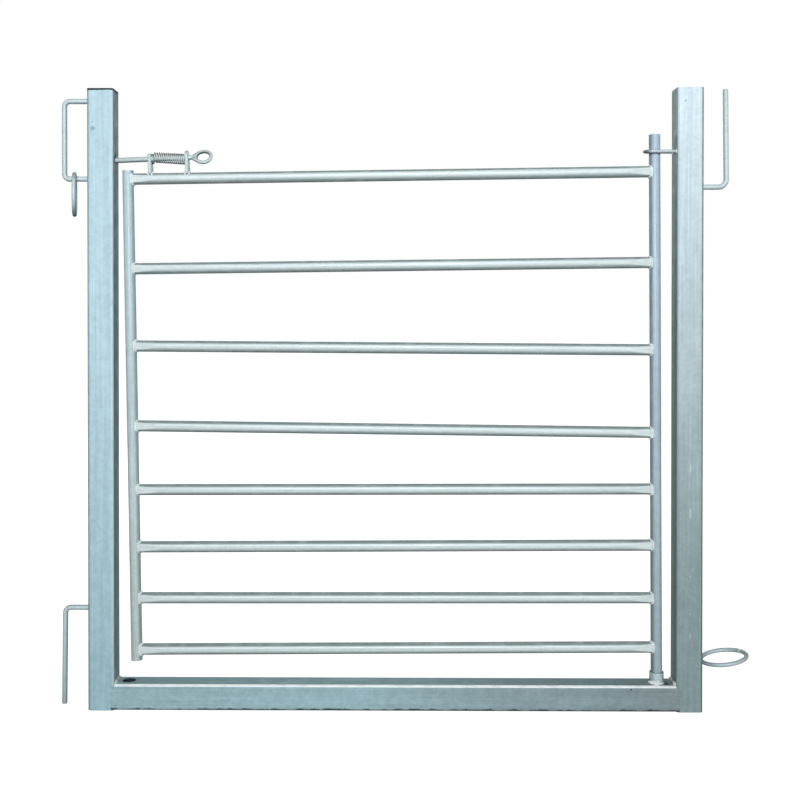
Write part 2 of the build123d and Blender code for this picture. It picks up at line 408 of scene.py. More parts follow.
@dataclass(frozen=True)
class TubeLine:
    """Axis of a straight round tube.

    Attributes:
        start: One end of the axis.
        end: The other end of the axis.
        radius: Outer radius of the tube.
    """

    start: Array
    end: Array
    radius: float

    @classmethod
    def of_node(cls, node: str) -> "TubeLine":
        """Find the axis as the line through the middles of a node's two ends."""
        points = node_points(node)
        along = points[:, np.argmax(np.ptp(points, axis=0))]
        low = along < (along.min() + along.max()) / 2
        start, end = points[low].mean(axis=0), points[~low].mean(axis=0)
        offset = np.cross(points - start, unit(end - start))
        return cls(start, end, float(np.linalg.norm(offset, axis=1).max()))

    @property
    def direction(self) -> Array:
        """Unit vector from start to end."""
        return unit(self.end - self.start)

    @property
    def length(self) -> float:
        """Distance from start to end."""
        return float(np.linalg.norm(self.end - self.start))

    def hollow(self, wall: float, rim: float, sides: int, ragged: float = 0.0, seed: int = 0,
               rim_painted_shade: float = 0.0) -> Surface:
        """Hollow tube with rounded rims.

        A loop of (distance, radius) pairs goes up the outside, over the far rim, down the
        bore and over the near rim, and is turned about the axis. Where the far end was cut
        by hand, its rim drops by ragged · (1 - lumps(a)) clipped at zero.

        Args:
            wall: Thickness of the tube's wall.
            rim: Radius of the rounded rims.
            sides: Points round the tube.
            ragged: How uneven the far rim is.
            seed: Number that fixes the uneven rim.
            rim_painted_shade: How dark the far rim is painted, as shade. The bore is painted nearly black, as
                shade.

        Returns:
            The closed tube.
        """
        bore, top = self.radius - wall, self.length
        soft = rim * (1 - np.cos(np.linspace(0, pi / 2, RIM_POINTS)))
        outer = self.radius - rim + np.sqrt(np.clip(rim ** 2 - (rim - soft) ** 2, 0, None))
        distance = np.concatenate((soft, top - soft[::-1], (top, top - rim / 2, rim / 2, 0.0)))
        radius = np.concatenate((outer, outer[::-1], (bore + rim / 2, bore, bore, bore + rim / 2)))
        lumps = WELD.lumps(circle_angles(sides) / FULL_TURN, CUT_LUMPS, seed)
        drop = ragged * np.clip(1 - lumps, 0, 1)
        along = distance[:, None] - (distance > top / 2)[:, None] * drop
        places = (radius < bore + rim / 4, distance > top - rim / 2)
        # Painted shade in the bore and on the far rim.
        painted_shade = np.select(places, (BORE_PAINTED_SHADE, rim_painted_shade), 0.0)
        grid = turned(self.start, self.direction, along, radius, sides)
        return Surface.of_grid(grid, ring=True, shade=painted_shade[:, None])

    def reach_to(self, points: Array, direction: Array, sink: float, far: bool) -> Array:
        """Distance from points along a direction to this tube's surface.

        Solves |m t + q| = radius - sink, where m and q are the parts of the direction and of
        each point's offset that are square to the axis.

        Args:
            points: Starting points, a row each.
            direction: Unit direction that all of them follow.
            sink: How far below the surface to stop.
            far: Whether to take the later of the two crossings.

        Returns:
            One distance for each point.
        """
        axis = self.direction
        m = direction - axis * np.dot(direction, axis)
        offset = points - self.start
        q = offset - np.outer(offset @ axis, axis)
        a, b = np.dot(m, m), q @ m
        c = np.sum(q * q, axis=1) - (self.radius - sink) ** 2
        root = np.sqrt(np.clip(b * b - a * c, 0, None))
        return (-b + root) / a if far else (-b - root) / a


# Finishes

class Slot(Enum):
    """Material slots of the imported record."""

    BOX = "galvanised_box_section"
    TUBE = "galvanised_tube"
    BAR = "galvanised_bar"
    SPRING = "zinc_plated_spring"


class Draw(Enum):
    """Direction of the mill's draw lines, as scales of the three axes."""

    UPRIGHT = (1.0, 1.0, 0.02)
    LENGTHWISE = (0.02, 1.0, 1.0)
    EVEN = (1.0, 1.0, 1.0)


class Fade(Enum):
    """Axis along which a finish turns from its fade's start tone to its end tone."""

    LENGTH = 0
    HEIGHT = 2


class Side(Enum):
    """Sides to which a face can look, as unit vectors."""

    UP = (0.0, 0.0, 1.0)
    DOWN = (0.0, 0.0, -1.0)
    RIGHT = (1.0, 0.0, 0.0)
    LEFT = (-1.0, 0.0, 0.0)


class Grain(Enum):
    """Noises in the zinc, as a scale per metre and a number of octaves."""

    CLOUDS = (7.0, 5.0)
    PATCHES = (38.0, 4.0)
    PITS = (120.0, 2.0)
    LINES = (260.0, 3.0)
    FINE = (1400.0, 2.0)


NOISE_ROUGHNESS = 0.6
NOISE_MEAN = 0.5
MIX_SHARE, MIX_FIRST, MIX_SECOND, MIX_RESULT = 0, 6, 7, 2
WHITE = (1.0, 1.0, 1.0, 1.0)


@dataclass(frozen=True)
class Ramp:
    """A smooth step of a value between two limits.

    Attributes:
        low: Limit at which the step starts.
        high: Limit at which it is whole. It may lie below the other.
        at_low: Result at the first limit and before it.
        at_high: Result at the second limit and beyond it.
    """

    low: float
    high: float
    at_low: float = 0.0
    at_high: float = 1.0


class Bench:
    """Lays out the nodes of one material or world."""

    def __init__(self, tree: bpy.types.NodeTree) -> None:
        """Start on an emptied node tree."""
        self.tree = tree
        self.tree.nodes.clear()

    def add(self, kind: str, inputs: dict, **settings: object) -> bpy.types.Node:
        """Add a node.

        Args:
            kind: Blender's name of the node.
            inputs: Values or sockets to put into its inputs, by name or number.
            settings: Other properties of the node.

        Returns:
            The new node.
        """
        node = self.tree.nodes.new(kind)
        for key, value in settings.items():
            setattr(node, key, value)
        for key, value in inputs.items():
            if isinstance(value, Socket):
                self.tree.links.new(value, node.inputs[key])
            else:
                node.inputs[key].default_value = value
        return node

    def work(self, kind: str, first: object, second: object = 0.0) -> Socket:
        """Join two numbers by a math operation such as ADD."""
        return self.add("ShaderNodeMath", {0: first, 1: second}, operation=kind).outputs[0]

    def measure(self, kind: str, first: Socket, second: Place = (0.0, 0.0, 0.0)) -> Socket:
        """Number that a vector operation such as DISTANCE gives for two vectors."""
        return self.add("ShaderNodeVectorMath", {0: first, 1: second}, operation=kind).outputs["Value"]

    def axes(self, vector: Socket) -> list[Socket]:
        """The three parts of a vector."""
        return list(self.add("ShaderNodeSeparateXYZ", {"Vector": vector}).outputs)

    def ramp(self, value: Socket, step: Ramp) -> Socket:
        """Follow a smooth step."""
        inputs = {"Value": value, "From Min": step.low, "From Max": step.high}
        inputs |= {"To Min": step.at_low, "To Max": step.at_high}
        return self.add("ShaderNodeMapRange", inputs, interpolation_type="SMOOTHSTEP").outputs["Result"]

    def noise(self, place: Socket, grain: Grain) -> Socket:
        """Cloudy noise about one half."""
        scale, detail = grain.value
        inputs = {"Vector": place, "Scale": scale, "Detail": detail, "Roughness": NOISE_ROUGHNESS}
        return self.add("ShaderNodeTexNoise", inputs).outputs["Fac"]

    def mix(self, share: object, first: object, second: object) -> Socket:
        """Blend two colours by a share."""
        start, end = (part if isinstance(part, Socket) else (*part, 1.0) for part in (first, second))
        inputs = {MIX_SHARE: share, MIX_FIRST: start, MIX_SECOND: end}
        return self.add("ShaderNodeMix", inputs, data_type="RGBA").outputs[MIX_RESULT]


FRONT_FACE = -0.025
POST_MIDDLE = 0.5575
SILL_MIDDLE = 0.025
# Painted shade, laid on faces and edges that turn from the light.
PAINTED_SHADE_TONE = (0.10, 0.155, 0.15)
# A painted highlight for rounded edges that face the light.
EDGE_HIGHLIGHT = (0.88, 0.95, 0.96)
# Near black, for real stains and marks and for painted shade.
STAIN_AND_PAINTED_SHADE = (0.02, 0.03, 0.045)
SEAM_HIGH = (0.36, 0.55, 0.72)
SEAM_LOW = (0.66, 0.72, 0.74)


@dataclass(frozen=True)
class Spot:
    """A dark mark on a box section.

    Attributes:
        x: Its place across the gate.
        z: Its height.
        radius: Its size.
        depth: How dark it is, from 0 to 1.
        y: Its place from front to back.
    """

    x: float
    z: float
    radius: float
    depth: float
    y: float = FRONT_FACE


@dataclass(frozen=True)
class SideShade:
    """Painted shade on the faces that look to one side, where less light reaches them or they reflect darker
    surroundings.

    Attributes:
        side: The side.
        start: Cosine between a face's normal and that side where the painted shade starts.
        whole: Cosine where it is whole.
        share: Share of the zinc that it covers.
        colour: Its colour.
    """

    side: Side
    start: float
    whole: float
    share: float
    colour: Colour = PAINTED_SHADE_TONE


@dataclass(frozen=True)
class EdgeLightAndShade:
    """Colour painted along the rounded edges of one side: a painted highlight where it is pale, painted shade
    where it is dark.

    Attributes:
        side: The side.
        colour: Colour painted along the edge.
        share: How much of that colour shows.
    """

    side: Side
    colour: Colour
    share: float = 1.0


@dataclass(frozen=True)
class WeatheringAndPaintedLight:
    """What zinc has in common on every piece: its weathering, and the steps of its painted light and shade.

    Attributes:
        patch_band: Values of the small patches between which the tone goes from dark to pale.
        patch_dark: How far the patches darken mottled zinc.
        patch_pale: How far they lighten it.
        layer_band: Values of draw lines, crystals and grain between which they do the same.
        line_depth: How far the draw lines darken the zinc.
        crystal_depth: How far the crystals darken mottled zinc.
        grain_depth: How far the finest grain darkens the zinc.
        rough_band: Values of the patches between which the roughness changes.
        rough_least: Change of the roughness at the first of them.
        rough_most: Change at the second.
        crystal_rough: Change of the roughness from crystal to crystal.
        grain_height: Height of the grain as a share of the patches' height.
        line_height: Height of the draw lines as a share of it.
        bump: Strength of the bumps.
        cloud_reach: How far the clouds shift the fade.
        pale_pits: Values of the pits between which they turn pale.
        pale_gain: Their paleness, as a factor of the fade's start tone.
        pale_share: How much of it shows on mottled zinc.
        dark_pits: Values of the pits between which they turn dark.
        dark_gain: Their darkness, as a factor of the fade's end tone.
        dark_share: How much of it shows on mottled zinc.
        side_shade_break: How the patches break up the painted side shade.
        edge_round: Largest part of a normal between which a flat face turns into an edge.
        edge_turn: Cosine to the side between which an edge starts to belong to it.
        edge_band: Values of the patches between which the colour painted on an edge is whole.
        edge_least: Share of that painted colour that is left between them.
        painted_shade_share: How dark the painted shade of a surface is at most.
        end_uneven: How uneven the darkening at the cut end is.
        end_below: Distance below the darkening's height at which it starts.
        end_above: Distance above it at which it is whole.
        end_share: How dark it is.
        hollow_half: Half the width of a box section's hollow.
        hollow_edge: Distance over which its painted shade ends.
        hollow_share: How dark that painted shade is.
        hole_reach: Distance of a hole's outer rim from the section's middle.
        hole_edge: Distance over which the painted shade of a hole's wall ends there.
        hole_half: Half the width in which holes lie.
        foot_band: Values of the patches between which the painted shade at the foot rises.
        foot_share: How dark that painted shade is.
        spot_ragged: How ragged a spot's rim is, as a share of its radius.
        spot_start: Distance at which a spot starts, as a share of its radius.
        spot_whole: Distance at which it is whole, as a share of its radius.
        seam_width: Distance from a mill seam's middle at which it shows.
        seam_front: Depth of the front face, where the seam lies.
        seam_high: Heights between which its upper stretch shows.
        seam_break: How the patches break up that stretch.
        seam_low: Heights between which its lower stretch shows.
        seam_dash: How the patches break up the lower stretch.
        seam_foot: Heights near the foot between which that stretch ends.
    """

    patch_band: Band = (0.25, 0.75)
    patch_dark: float = 0.08
    patch_pale: float = 0.06
    layer_band: Band = (0.2, 0.8)
    line_depth: float = 0.12
    crystal_depth: float = 0.07
    grain_depth: float = 0.05
    rough_band: Band = (0.3, 0.7)
    rough_least: float = -0.06
    rough_most: float = 0.10
    crystal_rough: Ramp = Ramp(0.0, 1.0, -0.05, 0.05)
    grain_height: float = 0.10
    line_height: float = 0.25
    bump: float = 0.6
    cloud_reach: float = 0.45
    pale_pits: Band = (0.66, 0.76)
    pale_gain: float = 1.12
    pale_share: float = 0.4
    dark_pits: Band = (0.30, 0.24)
    dark_gain: float = 0.55
    dark_share: float = 0.45
    side_shade_break: Ramp = Ramp(0.2, 0.6, 0.7, 1.0)
    edge_round: Ramp = Ramp(0.995, 0.90)
    edge_turn: Ramp = Ramp(0.1, 0.4)
    edge_band: Band = (0.25, 0.6)
    edge_least: float = 0.6
    painted_shade_share: float = 0.85
    end_uneven: float = 0.004
    end_below: float = 0.0008
    end_above: float = 0.0004
    end_share: float = 0.95
    hollow_half: float = 0.0221
    hollow_edge: float = 0.0004
    hollow_share: float = 0.9
    hole_reach: float = 0.0248
    hole_edge: float = 0.0001
    hole_half: float = 0.020
    foot_band: Band = (0.35, 0.65)
    foot_share: float = 0.85
    spot_ragged: float = 0.8
    spot_start: float = 1.4
    spot_whole: float = 0.6
    seam_width: Ramp = Ramp(0.0016, 0.0004)
    seam_front: Ramp = Ramp(-0.024, -0.0246)
    seam_high: Ramp = Ramp(0.35, 0.8, 0.0, 0.45)
    seam_break: Ramp = Ramp(0.3, 0.6, 0.3, 1.0)
    seam_low: Ramp = Ramp(0.7, 0.4, 0.0, 0.8)
    seam_dash: Ramp = Ramp(0.54, 0.60)
    seam_foot: Ramp = Ramp(0.10, 0.18)


@dataclass(frozen=True)
class ZincFinish:
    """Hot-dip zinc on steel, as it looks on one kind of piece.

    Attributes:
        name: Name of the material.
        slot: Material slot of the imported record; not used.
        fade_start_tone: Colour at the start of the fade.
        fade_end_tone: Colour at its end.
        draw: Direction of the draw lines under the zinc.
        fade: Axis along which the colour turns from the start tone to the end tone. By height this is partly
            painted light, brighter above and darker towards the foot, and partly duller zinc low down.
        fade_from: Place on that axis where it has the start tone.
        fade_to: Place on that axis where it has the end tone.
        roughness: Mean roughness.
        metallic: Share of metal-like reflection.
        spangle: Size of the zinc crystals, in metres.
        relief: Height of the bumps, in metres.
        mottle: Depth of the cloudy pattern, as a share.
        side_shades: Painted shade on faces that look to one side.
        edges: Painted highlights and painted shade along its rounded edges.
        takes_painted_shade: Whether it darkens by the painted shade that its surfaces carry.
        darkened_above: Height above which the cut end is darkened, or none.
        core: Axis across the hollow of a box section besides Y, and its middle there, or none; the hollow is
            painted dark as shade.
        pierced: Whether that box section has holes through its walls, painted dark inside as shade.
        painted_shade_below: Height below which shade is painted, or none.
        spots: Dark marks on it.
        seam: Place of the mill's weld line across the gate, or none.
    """

    name: str
    slot: Slot
    fade_start_tone: Colour
    fade_end_tone: Colour
    draw: Draw = Draw.EVEN
    fade: Fade = Fade.HEIGHT
    fade_from: float = 1.1
    fade_to: float = 0.0
    roughness: float = 0.45
    metallic: float = 0.06
    spangle: float = 0.007
    relief: float = 0.0004
    mottle: float = 1.0
    side_shades: tuple[SideShade, ...] = ()
    edges: tuple[EdgeLightAndShade, ...] = ()
    takes_painted_shade: bool = False
    darkened_above: float | None = None
    core: tuple[int, float] | None = None
    pierced: bool = False
    painted_shade_below: float | None = None
    spots: tuple[Spot, ...] = ()
    seam: float | None = None

    def material(self) -> bpy.types.Material:
        """Make the finish's material, or find it if it is made already."""
        return bpy.data.materials.get(self.name) or ZincCoat(self).material


class ZincCoat:
    """Material of one finish: colour, roughness and bumps on object coordinates."""

    def __init__(self, finish: ZincFinish, look: WeatheringAndPaintedLight = WeatheringAndPaintedLight()) -> None:
        """Make the material and lay out its nodes.

        Args:
            finish: The finish.
            look: What it has in common with the others.
        """
        self.finish, self.look = finish, look
        self.material = bpy.data.materials.new(finish.name)
        self.material.use_nodes = True
        self.bench = Bench(self.material.node_tree)
        texture = self.bench.add("ShaderNodeTexCoord", {}).outputs
        self.place, self.facing = texture["Object"], texture["Normal"]
        self.axes = self.bench.axes(self.place)
        self.patches = self.bench.noise(self.place, Grain.PATCHES)
        self.colour = self._zinc()
        self._lay_out()

    def _lay_out(self) -> None:
        """Shade the zinc by its grain, lay on its marks and its painted light and shade, and join all to the
        output.
        """
        bench, look, finish = self.bench, self.look, self.finish
        inputs = {"Vector": self.place, "Scale": finish.draw.value}
        drawn = bench.add("ShaderNodeMapping", inputs).outputs["Vector"]
        lines = bench.noise(drawn, Grain.LINES)
        fine = bench.noise(self.place, Grain.FINE)
        cell = bench.add("ShaderNodeTexVoronoi", {"Vector": self.place, "Scale": 1 / finish.spangle})
        crystal = bench.add("ShaderNodeSeparateColor", {"Color": cell.outputs["Color"]}).outputs[0]
        dark, pale = 1 - look.patch_dark * finish.mottle, 1 + look.patch_pale * finish.mottle
        tone = bench.ramp(self.patches, Ramp(*look.patch_band, dark, pale))
        depths = (look.line_depth, look.crystal_depth * finish.mottle, look.grain_depth)
        for layer, depth in zip((lines, crystal, fine), depths):
            shade = bench.ramp(layer, Ramp(*look.layer_band, 1 - depth, 1 + depth / 2))
            tone = bench.work("MULTIPLY", tone, shade)
        shaded = bench.add("ShaderNodeVectorMath", {0: self.colour, "Scale": tone}, operation="SCALE")
        self.colour = shaded.outputs["Vector"]
        self._lay_marks_and_painted_light()
        least, most = finish.roughness + look.rough_least, finish.roughness + look.rough_most
        rough = bench.ramp(self.patches, Ramp(*look.rough_band, least, most))
        height = bench.work("ADD", self.patches, bench.work("MULTIPLY", fine, look.grain_height))
        height = bench.work("ADD", height, bench.work("MULTIPLY", lines, look.line_height))
        inputs = {"Height": height, "Distance": finish.relief, "Strength": look.bump}
        inputs = {
            "Base Color": self.colour,
            "Metallic": finish.metallic,
            "Roughness": bench.work("ADD", rough, bench.ramp(crystal, look.crystal_rough)),
            "Specular IOR Level": 0.0,
            "Normal": bench.add("ShaderNodeBump", inputs).outputs["Normal"],
        }
        shader = bench.add("ShaderNodeBsdfPrincipled", inputs).outputs["BSDF"]
        bench.add("ShaderNodeOutputMaterial", {"Surface": shader})

    def _zinc(self) -> Socket:
        """Colour of clean zinc: start tone to end tone along the fade, partly painted light where it runs by
        height, with pale and dark pits.
        """
        bench, look, finish = self.bench, self.look, self.finish
        clouds = bench.work("SUBTRACT", bench.noise(self.place, Grain.CLOUDS), NOISE_MEAN)
        inputs = {"Value": self.axes[finish.fade.value]}
        inputs |= {"From Min": finish.fade_from, "From Max": finish.fade_to}
        faded = bench.add("ShaderNodeMapRange", inputs).outputs["Result"]
        inputs = {0: faded, 1: bench.work("MULTIPLY", clouds, look.cloud_reach)}
        share = bench.add("ShaderNodeMath", inputs, operation="ADD", use_clamp=True).outputs[0]
        colour = bench.mix(share, finish.fade_start_tone, finish.fade_end_tone)
        pits = bench.noise(self.place, Grain.PITS)
        pale = tuple(min(1.0, look.pale_gain * part) for part in finish.fade_start_tone)
        dark = tuple(look.dark_gain * part for part in finish.fade_end_tone)
        shown = bench.ramp(pits, Ramp(*look.pale_pits, 0.0, look.pale_share * finish.mottle))
        colour = bench.mix(shown, colour, pale)
        shown = bench.ramp(pits, Ramp(*look.dark_pits, 0.0, look.dark_share * finish.mottle))
        return bench.mix(shown, colour, dark)

    def _cover(self, share: Socket, colour: Colour) -> None:
        """Lay a colour over what is there, by a share."""
        self.colour = self.bench.mix(share, self.colour, colour)

    def _lay_marks_and_painted_light(self) -> None:
        """Lay on painted side shade, painted edge highlights and shade, the surfaces' painted shade, the cut end's
        darkening, painted hollow and foot shade, spots and the seam, in their order.
        """
        finish = self.finish
        for side_shade in finish.side_shades:
            self._paint_side_shade(side_shade)
        for edge in finish.edges:
            self._paint_edge_light_and_shade(edge)
        if finish.takes_painted_shade:
            # Darken by the painted shade that each point carries.
            painted_shade = self.bench.add("ShaderNodeAttribute", {}, attribute_name=PAINTED_SHADE_ATTRIBUTE).outputs["Fac"]
            self._cover(self.bench.work("MULTIPLY", painted_shade, self.look.painted_shade_share), STAIN_AND_PAINTED_SHADE)
        if finish.darkened_above:
            self._cut_end(finish.darkened_above)
        if finish.core:
            self._paint_hollow_shade(*finish.core)
        if finish.painted_shade_below:
            self._paint_foot_shade(finish.painted_shade_below)
        for spot in finish.spots:
            self._spot(spot)
        if finish.seam is not None:
            self._seam(finish.seam)

    def _paint_side_shade(self, side_shade: SideShade) -> None:
        """Paint shade on the faces that look to its side."""
        toward = self.bench.measure("DOT_PRODUCT", self.facing, side_shade.side.value)
        lying = self.bench.ramp(toward, Ramp(side_shade.start, side_shade.whole, 0.0, side_shade.share))
        broken = self.bench.ramp(self.patches, self.look.side_shade_break)
        self._cover(self.bench.work("MULTIPLY", lying, broken), side_shade.colour)

    def _paint_edge_light_and_shade(self, edge: EdgeLightAndShade) -> None:
        """Paint the edge's colour along the rounded edges of one side: a highlight where it is pale, shade where
        it is dark.
        """
        bench, look = self.bench, self.look
        parts = [bench.work("ABSOLUTE", part) for part in bench.axes(self.facing)]
        widest = bench.work("MAXIMUM", bench.work("MAXIMUM", parts[0], parts[1]), parts[2])
        toward = bench.measure("DOT_PRODUCT", self.facing, edge.side.value)
        edge_mask = bench.work("MULTIPLY", bench.ramp(widest, look.edge_round), bench.ramp(toward, look.edge_turn))
        broken = bench.ramp(self.patches, Ramp(*look.edge_band, look.edge_least * edge.share, edge.share))
        self._cover(bench.work("MULTIPLY", edge_mask, broken), edge.colour)

    def _cut_end(self, level: float) -> None:
        """Darken the cut end above a level."""
        bench, look = self.bench, self.look
        uneven = bench.work("SUBTRACT", self.patches, NOISE_MEAN)
        height = bench.work("ADD", self.axes[2], bench.work("MULTIPLY", uneven, look.end_uneven))
        step = Ramp(level - look.end_below, level + look.end_above, 0.0, look.end_share)
        self._cover(bench.ramp(height, step), STAIN_AND_PAINTED_SHADE)

    def _paint_hollow_shade(self, axis: int, middle: float) -> None:
        """Paint shade into the hollow of a box section, and on the walls of its holes if it has any.

        Args:
            axis: Axis across the hollow besides Y.
            middle: Middle of the hollow on that axis.
        """
        bench, look = self.bench, self.look
        along = bench.work("ABSOLUTE", bench.work("SUBTRACT", self.axes[axis], middle))
        across = bench.work("ABSOLUTE", self.axes[1])
        step = Ramp(look.hollow_half + look.hollow_edge, look.hollow_half, 0.0, look.hollow_share)
        inside = bench.ramp(bench.work("MAXIMUM", along, across), step)
        if self.finish.pierced:
            step = Ramp(look.hole_reach + look.hole_edge, look.hole_reach, 0.0, look.hollow_share)
            near = bench.ramp(across, Ramp(look.hole_half + look.hollow_edge, look.hole_half))
            wall = bench.work("MULTIPLY", bench.ramp(along, step), near)
            inside = bench.work("MAXIMUM", inside, wall)
        self._cover(inside, STAIN_AND_PAINTED_SHADE)

    def _paint_foot_shade(self, level: float) -> None:
        """Paint shade below a level, with a ragged top."""
        rise = self.bench.ramp(self.patches, Ramp(*self.look.foot_band, 0.0, level))
        height = self.bench.work("SUBTRACT", self.axes[2], rise)
        self._cover(self.bench.ramp(height, Ramp(level, 0.0, 0.0, self.look.foot_share)), STAIN_AND_PAINTED_SHADE)

    def _spot(self, spot: Spot) -> None:
        """Lay on a dark mark with a ragged rim."""
        bench, look = self.bench, self.look
        away = bench.measure("DISTANCE", self.place, (spot.x, spot.y, spot.z))
        ragged = bench.work("MULTIPLY", self.patches, look.spot_ragged * spot.radius)
        step = Ramp(look.spot_start * spot.radius, look.spot_whole * spot.radius, 0.0, spot.depth)
        self._cover(bench.ramp(bench.work("ADD", away, ragged), step), STAIN_AND_PAINTED_SHADE)

    def _seam(self, middle: float) -> None:
        """Draw the mill's weld line on the front: faint above, dashed below.

        Args:
            middle: Place of the line across the gate.
        """
        bench, look = self.bench, self.look
        x, y, z = self.axes
        away = bench.work("ABSOLUTE", bench.work("SUBTRACT", x, middle))
        line = bench.work("MULTIPLY", bench.ramp(away, look.seam_width), bench.ramp(y, look.seam_front))
        broken = bench.ramp(self.patches, look.seam_break)
        faint = bench.work("MULTIPLY", bench.ramp(z, look.seam_high), broken)
        self._cover(bench.work("MULTIPLY", line, faint), SEAM_HIGH)
        broken = bench.ramp(self.patches, look.seam_dash)
        dashes = bench.work("MULTIPLY", bench.ramp(z, look.seam_low), broken)
        dashes = bench.work("MULTIPLY", dashes, bench.ramp(z, look.seam_foot))
        self._cover(bench.work("MULTIPLY", line, dashes), SEAM_LOW)


# Latch post: the height fade is partly painted light; its inner right face and outer left edge carry painted
# shade, its front right edge a painted highlight, and its hollow is painted dark as shade. Its top end is darkened
# and the spots are marks on the post.
LATCH_POST_ZINC = ZincFinish(
    "latch_post_zinc", Slot.BOX, (0.54, 0.74, 0.83), (0.38, 0.58, 0.65), Draw.UPRIGHT,
    fade_from=0.7, fade_to=0.05, mottle=0.6, darkened_above=1.1765, core=(0, -POST_MIDDLE),
    side_shades=(SideShade(Side.RIGHT, 0.8, 0.95, 0.9, (0.185, 0.265, 0.265)),),
    edges=(EdgeLightAndShade(Side.RIGHT, EDGE_HIGHLIGHT, 0.3), EdgeLightAndShade(Side.LEFT, PAINTED_SHADE_TONE, 0.55)),
    spots=(Spot(-0.571, 1.104, 0.006, 0.45), Spot(-0.572, 1.116, 0.003, 0.35)))
# Hinge post: the height fade, pale above and dark at the foot, is partly painted light; its inner left face and
# outer right edge carry painted shade, and its hollow is painted dark as shade. The seam line and the spots are
# marks on the post.
HINGE_POST_ZINC = ZincFinish(
    "hinge_post_zinc", Slot.BOX, (0.69, 0.84, 0.91), (0.28, 0.38, 0.395), Draw.UPRIGHT,
    fade_from=1.15, fade_to=0.2, mottle=0.6, core=(0, POST_MIDDLE), seam=POST_MIDDLE,
    side_shades=(SideShade(Side.LEFT, 0.8, 0.95, 0.9, (0.245, 0.325, 0.30)),),
    edges=(EdgeLightAndShade(Side.RIGHT, PAINTED_SHADE_TONE, 0.8),),
    spots=(Spot(0.547, 1.154, 0.003, 0.4), Spot(0.579, 1.133, 0.003, 0.5)))
# Sill: bluer at the left end and greyer at the right. Its top carries painted shade and its top front edge a
# painted highlight; a line of painted shade runs along its foot, and its hollow and hole walls are painted dark as
# shade. The nearly black spot on its top beside the socket is painted shade where a small hole would show dark;
# the other spots are marks.
SILL_ZINC = ZincFinish(
    "sill_zinc", Slot.BOX, (0.38, 0.56, 0.61), (0.27, 0.34, 0.36), Draw.LENGTHWISE, Fade.LENGTH,
    fade_from=-0.1, fade_to=0.55, mottle=0.8, painted_shade_below=0.004, core=(2, SILL_MIDDLE), pierced=True,
    side_shades=(SideShade(Side.UP, 0.75, 0.88, 0.60),), edges=(EdgeLightAndShade(Side.UP, EDGE_HIGHLIGHT),),
    spots=(
        Spot(0.447, 0.043, 0.0025, 0.95), Spot(-0.530, 0.010, 0.002, 0.7),
        Spot(0.5165, 0.05, 0.008, 0.97, -0.011)))
# Stiles: painted shade on their limbs, both sides of the hinge stile and the right of the latch stile; their bores
# carry painted shade.
HINGE_STILE_ZINC = ZincFinish(
    "hinge_stile_zinc", Slot.TUBE, (0.48, 0.62, 0.73), (0.44, 0.56, 0.61), Draw.UPRIGHT,
    roughness=0.40, mottle=0.6, takes_painted_shade=True,
    side_shades=(SideShade(Side.LEFT, 0.4, 0.8, 0.65), SideShade(Side.RIGHT, 0.5, 0.9, 0.3)))
LATCH_STILE_ZINC = ZincFinish(
    "latch_stile_zinc", Slot.TUBE, (0.53, 0.68, 0.76), (0.59, 0.71, 0.69), Draw.UPRIGHT,
    roughness=0.40, mottle=0.6, takes_painted_shade=True, side_shades=(SideShade(Side.RIGHT, 0.35, 0.85, 0.5),))
# Rails: painted shade on their tops and undersides, for the dark top line and dark underside that light and
# reflections give.
RAIL_ZINC = ZincFinish(
    "rail_zinc", Slot.TUBE, (0.72, 0.83, 0.85), (0.70, 0.81, 0.82), Draw.LENGTHWISE,
    roughness=0.36, relief=0.00015, mottle=0.4,
    side_shades=(SideShade(Side.UP, 0.42, 0.71, 0.75), SideShade(Side.DOWN, 0.05, 0.8, 0.66)))
# Rods: painted shade on their tops, undersides and both sides, leaving the front lit, and the painted shade that
# their surfaces carry.
ROD_ZINC = ZincFinish(
    "rod_zinc", Slot.BAR, (0.64, 0.77, 0.80), (0.54, 0.67, 0.70), spangle=0.004, mottle=0.6, takes_painted_shade=True,
    side_shades=(
        SideShade(Side.UP, 0.5, 0.75, 0.5), SideShade(Side.DOWN, 0.25, 0.85, 0.62),
        SideShade(Side.LEFT, 0.35, 0.8, 0.4), SideShade(Side.RIGHT, 0.35, 0.8, 0.5)))
# Latch: painted shade on the tops and undersides of the bolt and lugs, and on the eye's inner side and legs.
LATCH_ZINC = ZincFinish(
    "latch_zinc", Slot.BAR, (0.64, 0.76, 0.77), (0.60, 0.71, 0.71), spangle=0.003, mottle=0.6, takes_painted_shade=True,
    side_shades=(SideShade(Side.UP, 0.5, 0.75, 0.45), SideShade(Side.DOWN, 0.2, 0.75, 0.75)))
# Collar: near-black painted shade on its upper and lower faces.
COLLAR_ZINC = ZincFinish(
    "collar_zinc", Slot.BAR, (0.60, 0.71, 0.72), (0.56, 0.66, 0.67), spangle=0.003, mottle=0.6, takes_painted_shade=True,
    side_shades=(SideShade(Side.UP, 0.1, 0.6, 0.7, STAIN_AND_PAINTED_SHADE), SideShade(Side.DOWN, 0.1, 0.6, 0.85, STAIN_AND_PAINTED_SHADE)))
# Spring: near-black painted shade on its upper and lower turns and on the wire's inner side.
SPRING_ZINC = ZincFinish(
    "spring_zinc", Slot.SPRING, (0.72, 0.82, 0.83), (0.68, 0.77, 0.78),
    roughness=0.33, spangle=0.002, takes_painted_shade=True,
    side_shades=(SideShade(Side.UP, 0.25, 0.7, 0.85, STAIN_AND_PAINTED_SHADE), SideShade(Side.DOWN, 0.15, 0.7, 0.8, STAIN_AND_PAINTED_SHADE)))
